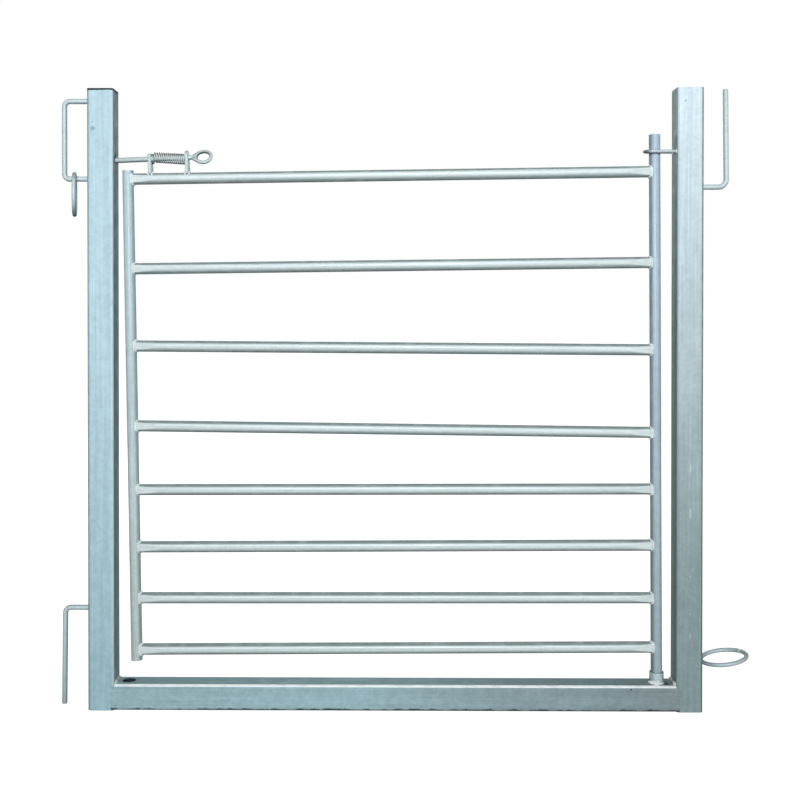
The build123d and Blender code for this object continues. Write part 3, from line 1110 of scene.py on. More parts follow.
# Welds: their near-white colour is partly a painted highlight, and the corner beads carry painted shade towards
# the back.
WELD_ZINC = ZincFinish(
    "weld_zinc", Slot.BAR, (0.86, 0.93, 0.95), (0.80, 0.88, 0.89),
    roughness=0.38, spangle=0.002, relief=0.0008, takes_painted_shade=True)


def make_piece(name: str, surfaces: list[Surface], finish: ZincFinish, body: str,
               *stands_for: str) -> bpy.types.Object:
    """Put surfaces into one object that rides on a body.

    Args:
        name: Name of the piece.
        surfaces: Closed surfaces of the piece.
        finish: Its zinc.
        body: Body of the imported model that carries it.
        stands_for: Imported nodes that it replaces.

    Returns:
        The new object, at the origin.
    """
    starts = np.cumsum([0, *(len(surface.points) for surface in surfaces)])
    points = np.vstack([surface.points for surface in surfaces])
    quads = np.vstack([surface.quads + start for surface, start in zip(surfaces, starts)])
    fans = np.vstack([surface.fans + start for surface, start in zip(surfaces, starts)])
    mesh = bpy.data.meshes.new(name)
    mesh.from_pydata(points.tolist(), [], quads.tolist() + fans.tolist())
    # Each point's painted shade goes into a mesh attribute.
    painted_shade = np.concatenate([surface.shade for surface in surfaces]).astype(np.float32)
    mesh.attributes.new(PAINTED_SHADE_ATTRIBUTE, "FLOAT", "POINT").data.foreach_set("value", painted_shade)
    mesh.shade_smooth()
    mesh.set_sharp_from_angle(angle=SMOOTH_BELOW)
    mesh.materials.append(finish.material())
    piece = bpy.data.objects.new(name, mesh)
    bpy.context.scene.collection.objects.link(piece)
    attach(piece, body)
    if stands_for:
        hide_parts(*stands_for)
    log.info("%s: %d points, %d faces, on %s", name, len(points), len(quads) + len(fans), body)
    return piece


def dress_node(node: str, finish: ZincFinish) -> None:
    """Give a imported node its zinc."""
    mesh = frame["nodes"][node].data
    mesh.materials.clear()
    mesh.materials.append(finish.material())
    log.info("%s: packed node in %s", node, finish.name)


# Sub-assemblies

@dataclass
class WeldedFrame:
    """Two box-section posts and a sill, welded into a U.

    Attributes:
        seam: Half the width of the dressed beads on the front and back of each corner.
        proud: Share of that half width by which they stand out.
        inset: How far over the post they are centred.
        foot: Gap left between these beads and the ground.
        corner: Radius of the beads across the top of the sill.
        painted_shade: How dark these beads are painted at the back, as shade.
        painted_shade_rise: How fast that painted shade grows from front to back.
        painted_shade_start: How far that is put off.
    """

    seam: float = 0.0055
    proud: float = 0.09
    inset: float = 0.0025
    foot: float = 0.0008
    corner: float = 0.0048
    painted_shade: float = 0.75
    painted_shade_rise: float = 3.5
    painted_shade_start: float = 0.2

    def build(self) -> None:
        """Dress the three box sections and weld them together."""
        dress_node("latch_post", LATCH_POST_ZINC)
        dress_node("hinge_post", HINGE_POST_ZINC)
        dress_node("sill", SILL_ZINC)
        seams, corners = [], []
        low, high = node_box("sill")
        for seed, (x, outward) in enumerate(((low[0], -1), (high[0], 1))):
            for y in (low[1], high[1]):
                foot = np.array((x + outward * self.inset, y, low[2] + self.foot))
                head = np.array((x + outward * self.inset, y, high[2] - self.corner / 2))
                seams.append(WELD.straight(foot, head, self.seam, RIGHTWARD, Seed.FIRST + seed, self.proud))
            front = np.array((x, low[1] + self.corner, high[2]))
            back = np.array((x, high[1] - self.corner, high[2]))
            bead = WELD.straight(front, back, self.corner, UPWARD, Seed.CORNER + seed)
            # Painted shade on each corner bead, growing towards the back.
            share = (bead.points[:, 1] - low[1]) / (high[1] - low[1])
            bead.shade = self.painted_shade * np.clip(self.painted_shade_rise * share - self.painted_shade_start, 0, 1)
            corners.append(bead)
        make_piece("frame_seams", seams, SILL_ZINC, "frame")
        make_piece("frame_corner_welds", corners, WELD_ZINC, "frame")


@dataclass
class Hinge:
    """Socket on the sill and bent loop on the hinge post.

    Attributes:
        socket_wall: Wall of the socket tube.
        rim: Rounding of the socket's rims.
        thin_bead: Radius of the weld round the socket's foot where it is thinnest.
        thick_bead: Radius of that weld where it is thickest.
        thick_at: Angle from +X of the thickest place.
        thick_power: How narrowly the weld is thick about that place.
        blob: Radius of the blob where the weld was ended there.
        blob_reach: Angle that the blob spreads to either side.
        blob_out: Share of its radius by which it stands out from the socket.
        blob_up: Share of its radius by which it stands above the sill.
        blob_points: Points along the blob.
        socket_sides: Points round the socket.
        foot_sides: Points round its weld.
        rim_painted_shade: How dark the socket's upper rim is painted, as shade.
        loop_rod: Radius of the loop's rod.
        loop_tilt: Angle by which the loop's back leg stands higher.
        loop_tip: Bevel of the loop's ends.
        loop_sides: Points round the loop's rod.
        loop_bead: Radius of the welds where the loop meets the post.
        loop_bead_sides: Points along each of these welds.
        loop_painted_shade: How fast painted shade darkens the loop round its bend, where that starts and how far
            it goes on.
        facets: Steps round the loop's bend.
    """

    socket_wall: float = 0.0023
    rim: float = 0.0008
    thin_bead: float = 0.0004
    thick_bead: float = 0.005
    thick_at: float = radians(250)
    thick_power: int = 3
    blob: float = 0.0062
    blob_reach: float = radians(24)
    blob_out: float = 1 / 3
    blob_up: float = 1 / 4
    blob_points: int = 25
    socket_sides: int = 64
    foot_sides: int = 72
    rim_painted_shade: float = 0.6
    loop_rod: float = 0.003
    loop_tilt: float = radians(4.5)
    loop_tip: float = 0.0004
    loop_sides: int = 20
    loop_bead: float = 0.0017
    loop_bead_sides: int = 36
    loop_painted_shade: tuple[float, float, float] = (1.4, 0.25, 0.5)
    facets: int = 40

    def build(self) -> None:
        """Build the socket, the loop and their welds."""
        self._socket()
        self._loop()

    def _socket(self) -> None:
        """Build the socket and the weld round its foot.

        The weld's radius at angle a is thin + (thick - thin) · ((1 + cos(a - thick_at)) / 2)^thick_power.
        """
        low, high = node_box("hinge_socket")
        middle = (low + high) / 2
        radius = (high[0] - low[0]) / 2
        line = TubeLine(np.array((middle[0], 0, low[2])), np.array((middle[0], 0, high[2])), radius)
        # The socket's upper rim carries painted shade.
        socket = line.hollow(self.socket_wall, self.rim, self.socket_sides, rim_painted_shade=self.rim_painted_shade)
        make_piece("hinge_socket_tube", [socket], ROD_ZINC, "frame", "hinge_socket")
        foot = round_path(line.start, RIGHTWARD, BACKWARD, radius + self.thin_bead, self.foot_sides)
        heavy = ((1 + np.cos(circle_angles(self.foot_sides) - self.thick_at)) / 2) ** self.thick_power
        bead = self.thin_bead + (self.thick_bead - self.thin_bead) * heavy
        angle = self.thick_at + np.linspace(-self.blob_reach, self.blob_reach, self.blob_points)
        middle = line.start + self.blob_up * self.blob * UPWARD
        front = arc(middle, RIGHTWARD, BACKWARD, radius + self.blob_out * self.blob, angle)
        welds = [
            WELD.round(foot, bead, UPWARD, Seed.SOCKET),
            WELD.open(front, self.blob, UPWARD, Seed.BLOB),
        ]
        make_piece("socket_weld", welds, WELD_ZINC, "frame")

    def _loop(self) -> None:
        """Build the loop: two legs from the post and a half turn round the stile."""
        low, high = node_box("hinge_loop")
        rod = self.loop_rod
        sideways = np.array((0.0, cos(self.loop_tilt), sin(self.loop_tilt)))
        half = (high[1] - low[1]) / 2 / cos(self.loop_tilt) - rod
        middle = np.array((low[0] + rod + half, 0.0, (low[2] + high[2]) / 2))
        turn = arc(middle, RIGHTWARD, sideways, half, np.linspace(-pi / 2, -3 * pi / 2, self.facets + 1))
        run = (high[0] - middle[0]) * RIGHTWARD
        path = np.vstack((turn[0] + run, turn, turn[-1] + run))
        square = np.cross(RIGHTWARD, sideways)
        # Painted shade on the loop's bend, which faces away from the light.
        gain, start, most = self.loop_painted_shade
        painted_shade = gain * np.clip((middle[0] - path[:, 0]) / half - start, 0, most)
        loop = solid_rod(path, rod, square, self.loop_sides, self.loop_tip, painted_shade)
        make_piece("hinge_loop_rod", [loop], ROD_ZINC, "frame", "hinge_loop")
        beads = []
        for seed, foot in enumerate(path[[0, -1]], Seed.FIRST):
            seat = round_path(foot, sideways, square, rod, self.loop_bead_sides)
            beads.append(WELD.round(seat, self.loop_bead, RIGHTWARD, seed))
        make_piece("loop_welds", beads, WELD_ZINC, "frame")


@dataclass
class Couplings:
    """Bent rods and rings on the outer faces of the posts.

    Attributes:
        rod: Radius of the bent rods.
        bend: Radius of the bends on the latch side.
        wide_bend: Radius of the coupling pin's bend.
        facets: Steps in each bend.
        shy: How much smaller than its packed box a ring is, so that it stays inside.
        tip: Bevel of the rods' free ends.
        bead: Radius of the welds at the posts.
        ring_rod: Radius of the rings' rod.
        joint_turn: Angle of the welded ring's butt joint behind its outermost place.
        joint_depth: Share by which a ring's rod is drawn in at its butt joint.
        joint_spread: Angle over which that groove dies away.
        joint_bead: Radius of the weld in the joint.
        painted_shade_spread: Angle over which painted shade about a joint dies away.
        link_painted_shade: How dark the loose ring is painted about its joint, as shade.
        seat_out: Distance of the welded ring's seat from the post, as a share of its rod's radius.
        seat_radius: Radius of that seat, as a share of it.
        seat_bead: Radius of the weld there, as a share of it.
        rod_sides: Points round the bent rods.
        bead_sides: Points along the weld at each rod's foot.
        ring_points: Points along a ring.
        ring_sides: Points round a ring's rod.
        joint_sides: Points along the weld in a ring's joint.
        seat_sides: Points along the weld at its seat.
    """

    rod: float = 0.005
    bend: float = 0.010
    wide_bend: float = 0.015
    facets: int = 14
    shy: float = 0.00006
    tip: float = 0.0012
    bead: float = 0.0022
    ring_rod: float = 0.004
    joint_turn: float = radians(26)
    joint_depth: float = 0.2
    joint_spread: float = 0.04
    joint_bead: float = 0.0008
    painted_shade_spread: float = 0.35
    link_painted_shade: float = 0.7
    seat_out: float = 0.4
    seat_radius: float = 0.7
    seat_bead: float = 0.5
    rod_sides: int = 28
    bead_sides: int = 40
    ring_points: int = 240
    ring_sides: int = 24
    joint_sides: int = 30
    seat_sides: int = 36

    def build(self) -> None:
        """Build the three rods, the welded ring, the loose ring and the welds."""
        latch_face = node_box("latch_post")[0][0]
        hinge_face = node_box("hinge_post")[1][0]
        low, high = node_box("link_staple")
        upper, lower, outer = high[2] - self.rod, low[2] + self.rod, low[0] + self.rod
        corners = ((latch_face, upper), (outer, upper), (outer, lower), (latch_face, lower))
        staple = np.array([(x, 0.0, z) for x, z in corners])
        drop_arm = node_box("drop_pin")[1][2] - self.rod
        pin_arm = node_box("coupling_pin")[0][2] + self.rod
        routes = {
            "link_staple": (staple, self.bend, staple[[0, -1]]),
            "drop_pin": self._pin("drop_pin", latch_face, drop_arm, self.bend),
            "coupling_pin": self._pin("coupling_pin", hinge_face, pin_arm, self.wide_bend),
        }
        beads = []
        for node, (corners, bend, feet) in routes.items():
            path = bent_line(corners, bend, self.facets)
            rod = solid_rod(path, self.rod, BACKWARD, self.rod_sides, self.tip)
            make_piece(f"{node}_rod", [rod], ROD_ZINC, "frame", node)
            for foot in feet:
                loop = round_path(foot, BACKWARD, UPWARD, self.rod, self.bead_sides)
                beads.append(WELD.round(loop, self.bead, RIGHTWARD, Seed.COUPLING + len(beads)))
        beads += self._welded_ring(hinge_face)
        make_piece("coupling_welds", beads, WELD_ZINC, "frame")
        self._loose_ring()

    def _pin(self, name: str, face: float, arm: float, bend: float) -> tuple[Array, float, Array]:
        """Corners of a rod that leaves a post's face level and ends in the pin of a mount.

        Args:
            name: Mount that holds the pin's axis and length.
            face: Place of the post's outer face on the X axis.
            arm: Height of the level arm.
            bend: Radius of the bend between arm and pin.

        Returns:
            The corners, the bend's radius and the foot on the post.
        """
        middle, axis, sizes = mount(name)
        end = middle + axis * sizes["length_mm"] * MILLIMETRE / 2
        corner = middle + axis * (arm - middle[2]) / axis[2]
        corners = np.array(((face, 0.0, arm), corner, end))
        return corners, bend, corners[:1]

    def _welded_ring(self, face: float) -> list[Surface]:
        """Build the ring on the hinge post.

        Args:
            face: Place of the post's outer face on the X axis.

        Returns:
            The welds at the post and in the ring's butt joint.
        """
        centre, axis, _ = mount("coupling_ring")
        low, high = node_box("coupling_ring")
        radius = (high[1] - low[1]) / 2 - self.ring_rod - self.shy
        outward = np.cross(BACKWARD, axis)
        first = cos(self.joint_turn) * outward + sin(self.joint_turn) * BACKWARD
        ring = self._ring(centre, first, np.cross(axis, first), radius)
        make_piece("coupling_ring_rod", [ring], ROD_ZINC, "frame", "coupling_ring")
        groove = (1 - self.joint_depth) * self.ring_rod
        joint = round_path(centre + radius * first, first, axis, groove, self.joint_sides)
        touch = centre - outward * radius
        foot = np.array((face + self.seat_out * self.ring_rod, 0.0, touch[2]))
        seat = round_path(foot, BACKWARD, UPWARD, self.seat_radius * self.ring_rod, self.seat_sides)
        return [
            WELD.round(joint, self.joint_bead, np.cross(axis, first), Seed.RING_JOINT),
            WELD.round(seat, self.seat_bead * self.ring_rod, RIGHTWARD, Seed.RING_SEAT),
        ]

    def _loose_ring(self) -> None:
        """Build the ring that hangs on the staple, with its butt joint at the bottom."""
        centre, axis, _ = mount("link_ring")
        low, high = node_box("link_ring")
        radius = (high[2] - low[2]) / 2 - self.ring_rod - self.shy
        # Painted shade on the ring's bottom, about its joint.
        ring = self._ring(centre, -UPWARD, np.cross(axis, -UPWARD), radius, self.link_painted_shade)
        make_piece("link_ring_rod", [ring], ROD_ZINC, "link", "link_ring")

    def _ring(self, centre: Array, first: Array, second: Array, radius: float, painted_shade: float = 0.0) -> Surface:
        """Ring of bent rod with a groove at its butt joint.

        The rod's radius at angle a is rod (1 - depth · exp(-(a / spread)²)), with a counted
        from the joint, which lies along first.

        Args:
            centre: Middle of the ring.
            first: Direction of the joint.
            second: Direction square to it in the ring's plane.
            radius: Radius of the rod's axis.
            painted_shade: How dark the rod is painted about the joint, as shade.

        Returns:
            The closed ring.
        """
        path = round_path(centre, first, second, radius, self.ring_points)
        angle = (circle_angles(self.ring_points) + pi) % FULL_TURN - pi
        reach = self.ring_rod * (1 - self.joint_depth * np.exp(-(angle / self.joint_spread) ** 2))
        dark = painted_shade * np.exp(-(angle / self.painted_shade_spread) ** 2)[:, None]
        grid = carried_round(path, reach, np.cross(first, second), self.ring_sides, closed=True)
        return Surface.of_grid(grid, ring=True, shade=dark)


@dataclass
class Leaf:
    """Eight rails between two stiles.

    Attributes:
        wall: Wall of the tubes.
        rim: Rounding of the tubes' cut ends.
        pressed: Share of its depth that a rail keeps where its ends are pressed flat.
        pressed_length: Length of the pressed ends.
        sink: How far a rail's cut ends run into the stiles' walls.
        bead: Radius of the welds at the rails' ends.
        ragged: How uneven the hand-cut head of the latch stile is.
        sides: Points round each tube.
        steps: Rows along each pressed end.
    """

    wall: float = 0.002
    rim: float = 0.0005
    pressed: float = 0.74
    pressed_length: float = 0.046
    sink: float = 0.001
    bead: float = 0.0021
    ragged: float = 0.006
    sides: int = 64
    steps: int = 12

    def build(self) -> None:
        """Build the stiles, the rails and their welds."""
        hinge, latch = TubeLine.of_node("hinge_stile"), TubeLine.of_node("latch_stile")
        stile = hinge.hollow(self.wall, self.rim, self.sides)
        make_piece("hinge_stile_tube", [stile], HINGE_STILE_ZINC, "leaf", "hinge_stile")
        stile = latch.hollow(self.wall, self.rim, self.sides, self.ragged, Seed.CUT_HEAD)
        make_piece("latch_stile_tube", [stile], LATCH_STILE_ZINC, "leaf", "latch_stile")
        names = ("top_rail", *(f"rail_{count}" for count in INNER_RAILS), "bottom_rail")
        beads = []
        for count, name in enumerate(names):
            rail = TubeLine.of_node(name)
            make_piece(f"{name}_tube", [self._rail(rail, latch, hinge)], RAIL_ZINC, "leaf", name)
            spokes = self._spokes(rail, np.array((self.pressed,)))[0]
            for stile, far in ((latch, True), (hinge, False)):
                path = self._middle(rail) + rail.radius * spokes
                path = path + stile.reach_to(path, rail.direction, 0.0, far)[:, None] * rail.direction
                beads.append(RAIL_WELD.round(path, self.bead, unit(spokes), Seed.FIRST + 2 * count + far))
        make_piece("rail_welds", beads, WELD_ZINC, "leaf")

    def _middle(self, rail: TubeLine) -> Array:
        """Middle of a rail's axis."""
        return (rail.start + rail.end) / 2

    def _spokes(self, rail: TubeLine, depth: Array) -> Array:
        """Offsets from a rail's axis to its surface, for a radius of 1.

        S(k, a) = clip(cos a, -depth_k, depth_k) · back + sin a · up.

        Args:
            rail: The rail's axis.
            depth: Share of the depth that each row keeps.

        Returns:
            The offsets, rows by angles by three.
        """
        angle = circle_angles(self.sides)
        up = np.cross(rail.direction, BACKWARD)
        flat = np.clip(np.cos(angle), -depth[:, None], depth[:, None])
        return flat[..., None] * BACKWARD + np.sin(angle)[:, None] * up

    def _rail(self, rail: TubeLine, latch: TubeLine, hinge: TubeLine) -> Surface:
        """Hollow rail, coped to both stiles and pressed flat at its ends.

        P(k, a) = middle + t · direction + r · S(k, a), where t runs from the latch stile's surface
        to the hinge stile's at each angle a, and the depth kept in S falls evenly from 1 to its
        pressed share over each pressed end. The bore follows back the other way.

        Args:
            rail: The rail's axis.
            latch: The latch stile's axis.
            hinge: The hinge stile's axis.

        Returns:
            The closed rail.
        """
        inset = np.linspace(0, 1, self.steps)
        depth = self.pressed + (1 - self.pressed) * inset
        depth = np.concatenate((depth, depth[::-1], depth[:1], depth[:1]))
        radius = np.full(len(depth), rail.radius)
        radius[-2:] -= self.wall
        ends = self._middle(rail) + rail.radius * self._spokes(rail, depth[:1])[0]
        left = latch.reach_to(ends, rail.direction, self.sink, True)
        right = hinge.reach_to(ends, rail.direction, self.sink, False)
        run = inset[:, None] * self.pressed_length
        along = np.vstack((left + run, right - run[::-1], right, left))
        grid = along[:, :, None] * rail.direction + radius[:, None, None] * self._spokes(rail, depth)
        return Surface.of_grid(self._middle(rail) + grid, ring=True)


@dataclass
class LatchBolt:
    """Sprung bolt with its pull eye, on two lugs over the top rail.

    Attributes:
        radius: Radius of the bolt.
        tip: Bevel of the bolt's tip.
        neck: Radius of the bolt where it runs into the eye.
        neck_length: Length over which it thins.
        eye_bar: Radius of the eye's bar.
        eye_radius: Radius of the axis of the eye's bar.
        eye_tilt: Angle of the eye's plane above the level.
        eye_fork: Distance from the eye's middle to where its two legs meet, as a share of its radius.
        collar_rim: Rounding of the collar's edges.
        wire: Radius of the spring's wire.
        turns: Turns of the spring.
        turn_steps: Points in each turn.
        crowding: Share by which the pitch narrows towards the inner lug and widens towards the collar.
        droop: How far the spring's axis stands above the bolt's at the collar, and below it at the lug.
        lug_heads: How far the outer and the inner lug reach above the bolt's axis.
        lug_points: How pointed their heads are, as powers of a rounded outline: 1 is a point, 0 is square.
        lug_foot: The same power for their feet.
        lug_edge: Rounding of the lugs' edges.
        bead: Radius of the welds at the lugs' feet.
        bead_reach: Angle that these welds go down each side of the rail.
        travel: Longest pull of the bolt; not used.
        collar_gap: Gap between the bolt and the collar.
        eye_painted_shade: How fast painted shade darkens the eye's inner side, and how far that is put off.
        leg_painted_shade: How dark the eye's legs are painted, as shade.
        wire_painted_shade: How fast painted shade darkens the wire's inner side, and how dark it is half-way
            round.
        lug_sides: Points round a lug.
        bar_sides: Points round the bolt.
        eye_points: Points along the eye.
        eye_sides: Points round the eye's bar.
        collar_sides: Points round the collar.
        wire_sides: Points round the spring's wire.
        bead_points: Points along each weld.
    """

    radius: float = 0.005
    tip: float = 0.0015
    neck: float = 0.0041
    neck_length: float = 0.009
    eye_bar: float = 0.0034
    eye_radius: float = 0.0146
    eye_tilt: float = radians(52)
    eye_fork: float = 1.6
    collar_rim: float = 0.0006
    wire: float = 0.0011
    turns: int = 15
    turn_steps: int = 28
    crowding: float = 0.18
    droop: tuple[float, float] = (0.0026, -0.0031)
    lug_heads: tuple[float, float] = (0.0100, 0.0132)
    lug_points: tuple[float, float] = (0.5, 1.15)
    lug_foot: float = 0.12
    lug_edge: float = 0.0009
    bead: float = 0.0026
    bead_reach: float = 1.05
    travel: float = 0.023
    collar_gap: float = 0.0001
    eye_painted_shade: Band = (1.5, 0.4)
    leg_painted_shade: float = 0.3
    wire_painted_shade: Band = (1.2, 0.3)
    lug_sides: int = 96
    bar_sides: int = 32
    eye_points: int = 96
    eye_sides: int = 24
    collar_sides: int = 56
    wire_sides: int = 12
    bead_points: int = 31

    @property
    def direction(self) -> Array:
        """Unit vector along the bolt, from its tip to its eye."""
        joint = next(joint for joint in frame["joints"] if joint["name"] == "bolt_slide")
        return unit(np.array(joint["axis"], float))

    @property
    def above(self) -> Array:
        """Unit vector square to the bolt, upwards."""
        return np.cross(self.direction, BACKWARD)

    @property
    def origin(self) -> Array:
        """Middle of the collar, from which distances along the bolt count."""
        return node_points("bolt_collar").mean(axis=0)

    def build(self) -> None:
        """Build the lugs, bolt, collar and spring, and the lugs' welds."""
        for node, head, power in zip(LUGS, self.lug_heads, self.lug_points):
            self._lug(node, head, power)
        self._bolt()
        self._collar()
        self._spring()
        self._welds()

    def _span(self, node: str) -> tuple[float, float]:
        """Where a node starts and ends along the bolt's axis."""
        along = (node_points(node) - self.origin) @ self.direction
        return float(along.min()), float(along.max())

    def _at(self, along: float) -> Array:
        """Point on the bolt's axis."""
        return self.origin + along * self.direction

    def _lug(self, node: str, head: float, power: float) -> None:
        """Build a lug: a plate across the bolt with a rounded head and softened edges.

        Its outline at angle a is half · c^p · back + reach · s^p · up about the bolt's axis, where c^p
        and s^p are the cosine and sine of a raised to a power that keep their signs. The upper half
        reaches to the head by the given power, and the lower half to the foot, nearly square.

        Args:
            node: Packed lug that it replaces.
            head: How far it reaches above the bolt's axis.
            power: How pointed its head is.
        """
        points = node_points(node) - self.origin
        start, end = self._span(node)
        half, foot = float(points[:, 1].max()), float((points @ self.above).min())
        angle = circle_angles(self.lug_sides)
        upper = np.sin(angle) > 0
        power_there, reach = np.where(upper, power, self.lug_foot), np.where(upper, head, -foot)
        width = half * np.sign(np.cos(angle)) * np.abs(np.cos(angle)) ** power_there
        height = reach * np.sign(np.sin(angle)) * np.abs(np.sin(angle)) ** power_there
        along = np.array((start, start + self.lug_edge, end - self.lug_edge, end))[:, None, None]
        inset = 1 - np.array((self.lug_edge, 0.0, 0.0, self.lug_edge))[:, None, None] / half
        outline = width[:, None] * BACKWARD + height[:, None] * self.above
        grid = self.origin + along * self.direction + inset * outline
        make_piece(f"{node}_plate", [Surface.of_grid(grid, ring=False)], LATCH_ZINC, "leaf", node)

    def _bolt(self) -> None:
        """Build the round bar and the eye that its end is bent into.

        The eye's axis is a circle of radius r. Its two legs run straight from the bar's axis, at
        fork · r from the circle's middle, to where they touch the circle, at the angle
        arccos(1 / fork) on either side. The side of the eye that faces the hole, and both legs, are darkened with
        painted shade.
        """
        start, end = self._span("latch_bolt")
        centre = end - self.eye_radius - self.eye_bar
        length = centre - self.eye_fork * self.eye_radius + self.eye_bar - start
        distance = np.array((0.0, self.tip, length - self.neck_length, length))
        radius = np.array((self.radius - self.tip, self.radius, self.radius, self.neck))
        bar = turned(self._at(start), self.direction, distance, radius, self.bar_sides)
        across = cos(self.eye_tilt) * BACKWARD + sin(self.eye_tilt) * self.above
        square = np.cross(self.direction, across)
        path = round_path(self._at(centre), self.direction, across, self.eye_radius, self.eye_points)
        eye = carried_round(path, self.eye_bar, square, self.eye_sides, closed=True)
        # Painted shade on the eye's inner side and its legs.
        gain, start_off = self.eye_painted_shade
        painted_shade = np.clip(gain * np.cos(circle_angles(self.eye_sides)) - start_off, 0, 1)
        surfaces = [Surface.of_grid(bar, ring=False), Surface.of_grid(eye, ring=True, shade=painted_shade)]
        touch = pi - acos(1 / self.eye_fork)
        root = self._at(centre - self.eye_fork * self.eye_radius)
        angle = np.array((-touch, touch))
        for rim in arc(self._at(centre), self.direction, across, self.eye_radius, angle):
            leg = np.vstack((root, rim))
            surfaces.append(
                solid_rod(leg, self.eye_bar, square, self.eye_sides, self.collar_rim, self.leg_painted_shade))
        make_piece("latch_bolt_bar", surfaces, LATCH_ZINC, "bolt", "latch_bolt")

    def _collar(self) -> None:
        """Build the collar that the spring pushes on."""
        start, end = self._span("bolt_collar")
        line = TubeLine(self._at(start), self._at(end), float(node_box("bolt_collar")[1][1]))
        wall = line.radius - self.radius - self.collar_gap
        ring = line.hollow(wall, self.collar_rim, self.collar_sides)
        make_piece("bolt_collar_ring", [ring], COLLAR_ZINC, "bolt", "bolt_collar")

    def _spring(self) -> None:
        """Build the coil along the packed spring.

        Centre of the wire at share s of the turns, with a = 2π · turns · s:
        axis(u) + droop(s) · up + r (cos a · back + sin a · up), where the place along the axis is
        u = s + crowding · s (1 - s). The side of the wire that faces the bolt is darkened with painted shade.
        """
        start, end = self._span("latch_spring")
        coil = float(node_box("latch_spring")[1][1]) - self.wire
        share = np.linspace(0, 1, self.turns * self.turn_steps + 1)
        angle = share * self.turns * FULL_TURN
        spread = share + self.crowding * share * (1 - share)
        along = start + self.wire + spread * (end - start - 2 * self.wire)
        lift = self.droop[0] + share * (self.droop[1] - self.droop[0])
        outward = arc(NOWHERE, BACKWARD, self.above, 1.0, angle)
        path = self.origin + along[:, None] * self.direction + lift[:, None] * self.above + coil * outward
        # Painted shade on the wire's inner side, where the coil shades itself.
        gain, half_way = self.wire_painted_shade
        painted_shade = np.clip(half_way - gain * np.sin(circle_angles(self.wire_sides)), 0, 1)
        grid = carried_round(path, self.wire, outward, self.wire_sides)
        wire = Surface.of_grid(grid, ring=False, shade=painted_shade)
        piece = make_piece("latch_spring_coil", [wire], SPRING_ZINC, "leaf", "latch_spring")
        lug, collar = self._span("inner_lug")[0], self._span("bolt_collar")[1]
        tuple(self._at(lug))
        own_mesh(piece)

    def _welds(self) -> None:
        """Build beads over the rail on both faces of each lug."""
        rail = TubeLine.of_node("top_rail")
        up = np.cross(rail.direction, BACKWARD)
        angle = np.linspace(-self.bead_reach, self.bead_reach, self.bead_points)
        over = arc(NOWHERE, up, BACKWARD, rail.radius, angle)
        beads = []
        for node in LUGS:
            points = node_points(node)
            foot = points[points[:, 2] < points[:, 2].min() + rail.radius]
            for x in (foot[:, 0].min(), foot[:, 0].max()):
                middle = rail.start + rail.direction * (x - rail.start[0]) / rail.direction[0]
                seed = Seed.LUG + len(beads)
                beads.append(WELD.open(middle + over, self.bead, rail.direction, seed))
        make_piece("lug_welds", beads, WELD_ZINC, "leaf")


@dataclass(frozen=True)
class Lamp:
    """A soft light of the room.

    Attributes:
        name: Its name.
        place: Where it stands, in metres.
        power: Its power in watts.
    """

    name: str
    place: Place
    power: float


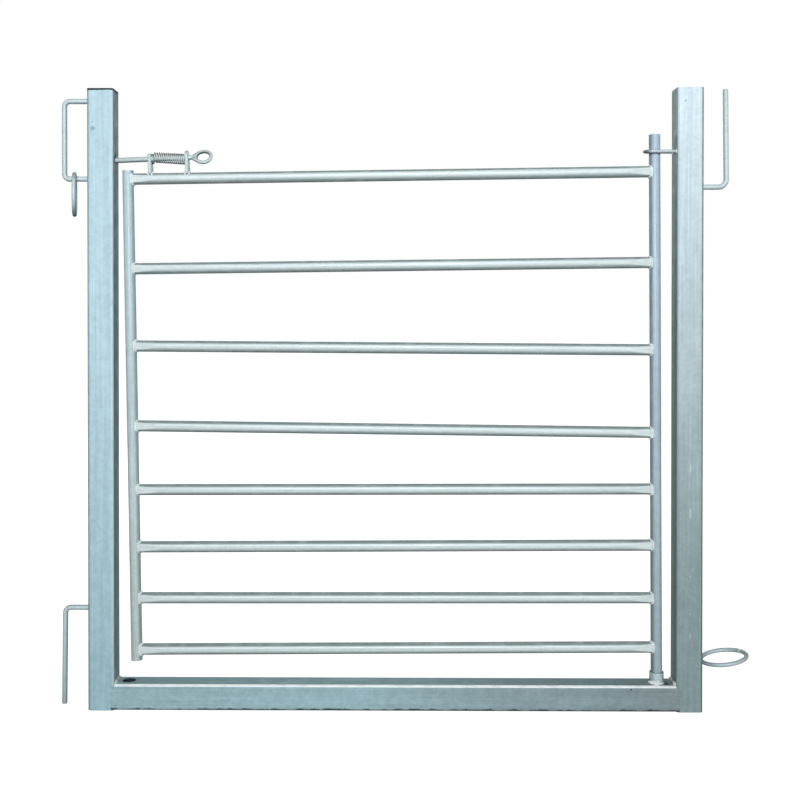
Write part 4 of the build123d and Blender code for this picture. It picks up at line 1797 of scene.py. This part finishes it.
@dataclass
class Studio:
    """White room: floor, lights and camera.

    Attributes:
        camera_place: Where the camera stands, in metres.
        camera_turn: Its tilt from straight down, its roll and its turn about the vertical.
        focal: Focal length in millimetres.
        sensor: Width of the sensor in millimetres.
        shift: Sideways and upward shift of the picture.
        fill: Strength of the light from all round.
        lamps: Lights: the main one in front, a weaker one behind and one at each side.
        lamp_aim: What the lights point at.
        lamp_size: Side of the lights.
        floor_half: Half the side of the floor.
        floor_tone: Paleness of the floor where it takes light.
        floor_glow: White that the floor shows of itself near the gate, besides the light that falls on it.
        glow_from: Distance from the gate's middle at which that white starts to grow.
        glow_to: Distance at which it is whole.
    """

    camera_place: Place = (-0.0127, -2.1495, 0.7603)
    camera_turn: Place = (pi / 2 - 0.0088, 0.0, 0.0097)
    focal: float = 50.64
    sensor: float = 36.0
    shift: tuple[float, float] = (0.0288, -0.1)
    fill: float = 0.17
    lamps: tuple[Lamp, ...] = (
        Lamp("key", (0.15, -4.5, 2.5), 188.0),
        Lamp("back", (-0.15, 4.5, 2.0), 60.0),
        Lamp("left", (-4.5, 2.0, 1.6), 45.0),
        Lamp("right", (4.5, 2.0, 1.6), 45.0),
    )
    lamp_aim: Place = (0.0, 0.0, 0.6)
    lamp_size: float = 1.6
    floor_half: float = 30.0
    floor_tone: float = 0.35
    floor_glow: float = 0.88
    glow_from: float = 0.5
    glow_to: float = 1.3

    def build(self) -> None:
        """Set up floor, background, lights and camera."""
        bpy.context.scene.view_settings.view_transform = "Standard"
        self._floor()
        self._world()
        for lamp in self.lamps:
            self._hang(lamp)
        self._camera()

    def _seen(self, bench: Bench) -> Socket:
        """One for rays that show the background: from the camera, by reflection or through glass."""
        path = bench.add("ShaderNodeLightPath", {}).outputs
        shown = bench.work("MAXIMUM", path["Is Camera Ray"], path["Is Glossy Ray"])
        return bench.work("MAXIMUM", shown, path["Is Transmission Ray"])

    def _floor(self) -> None:
        """Lay the pale floor, which is white but for the gate's soft shadow."""
        half = self.floor_half
        mesh = bpy.data.meshes.new("floor")
        corners = [(-half, -half, 0.0), (half, -half, 0.0), (half, half, 0.0), (-half, half, 0.0)]
        mesh.from_pydata(corners, [], [(0, 1, 2, 3)])
        material = bpy.data.materials.new("floor_white")
        material.use_nodes = True
        bench = Bench(material.node_tree)
        place = bench.add("ShaderNodeTexCoord", {}).outputs["Object"]
        away = bench.measure("LENGTH", place)
        white = bench.ramp(away, Ramp(self.glow_from, self.glow_to, self.floor_glow, 1.0))
        strength = bench.work("MULTIPLY", white, self._seen(bench))
        tone = (self.floor_tone, self.floor_tone, self.floor_tone, 1.0)
        matt = bench.add("ShaderNodeBsdfDiffuse", {"Color": tone}).outputs[0]
        glow = bench.add("ShaderNodeEmission", {"Color": WHITE, "Strength": strength}).outputs[0]
        both = bench.add("ShaderNodeAddShader", {0: matt, 1: glow}).outputs[0]
        bench.add("ShaderNodeOutputMaterial", {"Surface": both})
        mesh.materials.append(material)
        floor = bpy.data.objects.new("floor", mesh)
        bpy.context.scene.collection.objects.link(floor)

    def _world(self) -> None:
        """Light from all round, which shows as white behind the gate."""
        world = bpy.data.worlds.new("studio")
        world.use_nodes = True
        bpy.context.scene.world = world
        bench = Bench(world.node_tree)
        strength = bench.ramp(self._seen(bench), Ramp(0.0, 1.0, self.fill, 1.0))
        glow = bench.add("ShaderNodeBackground", {"Color": WHITE, "Strength": strength})
        bench.add("ShaderNodeOutputWorld", {"Surface": glow.outputs[0]})

    def _hang(self, lamp: Lamp) -> None:
        """Hang a soft square light.

        Args:
            lamp: The light.
        """
        light = bpy.data.lights.new(lamp.name, "AREA")
        light.shape = "SQUARE"
        light.size = self.lamp_size
        light.energy = lamp.power
        hung = bpy.data.objects.new(lamp.name, light)
        hung.location = lamp.place
        aim = Vector(self.lamp_aim) - Vector(lamp.place)
        hung.rotation_euler = aim.to_track_quat("-Z", "Y").to_euler()
        bpy.context.scene.collection.objects.link(hung)

    def _camera(self) -> None:
        """Place the camera at the photograph's point of view."""
        lens = bpy.data.cameras.new("camera")
        lens.sensor_fit = "HORIZONTAL"
        lens.sensor_width = self.sensor
        lens.lens = self.focal
        lens.shift_x, lens.shift_y = self.shift
        camera = bpy.data.objects.new("camera", lens)
        camera.location = self.camera_place
        camera.rotation_euler = self.camera_turn
        bpy.context.scene.collection.objects.link(camera)
        bpy.context.scene.camera = camera


def main() -> None:
    """Build the gate and the studio round it."""
    logging.basicConfig(level=logging.INFO, format="%(name)s: %(message)s")
    for assembly in (WeldedFrame(), Hinge(), Couplings(), Leaf(), LatchBolt(), Studio()):
        log.info("building %s", type(assembly).__name__)
        assembly.build()


if __name__ == "__main__":
    main()
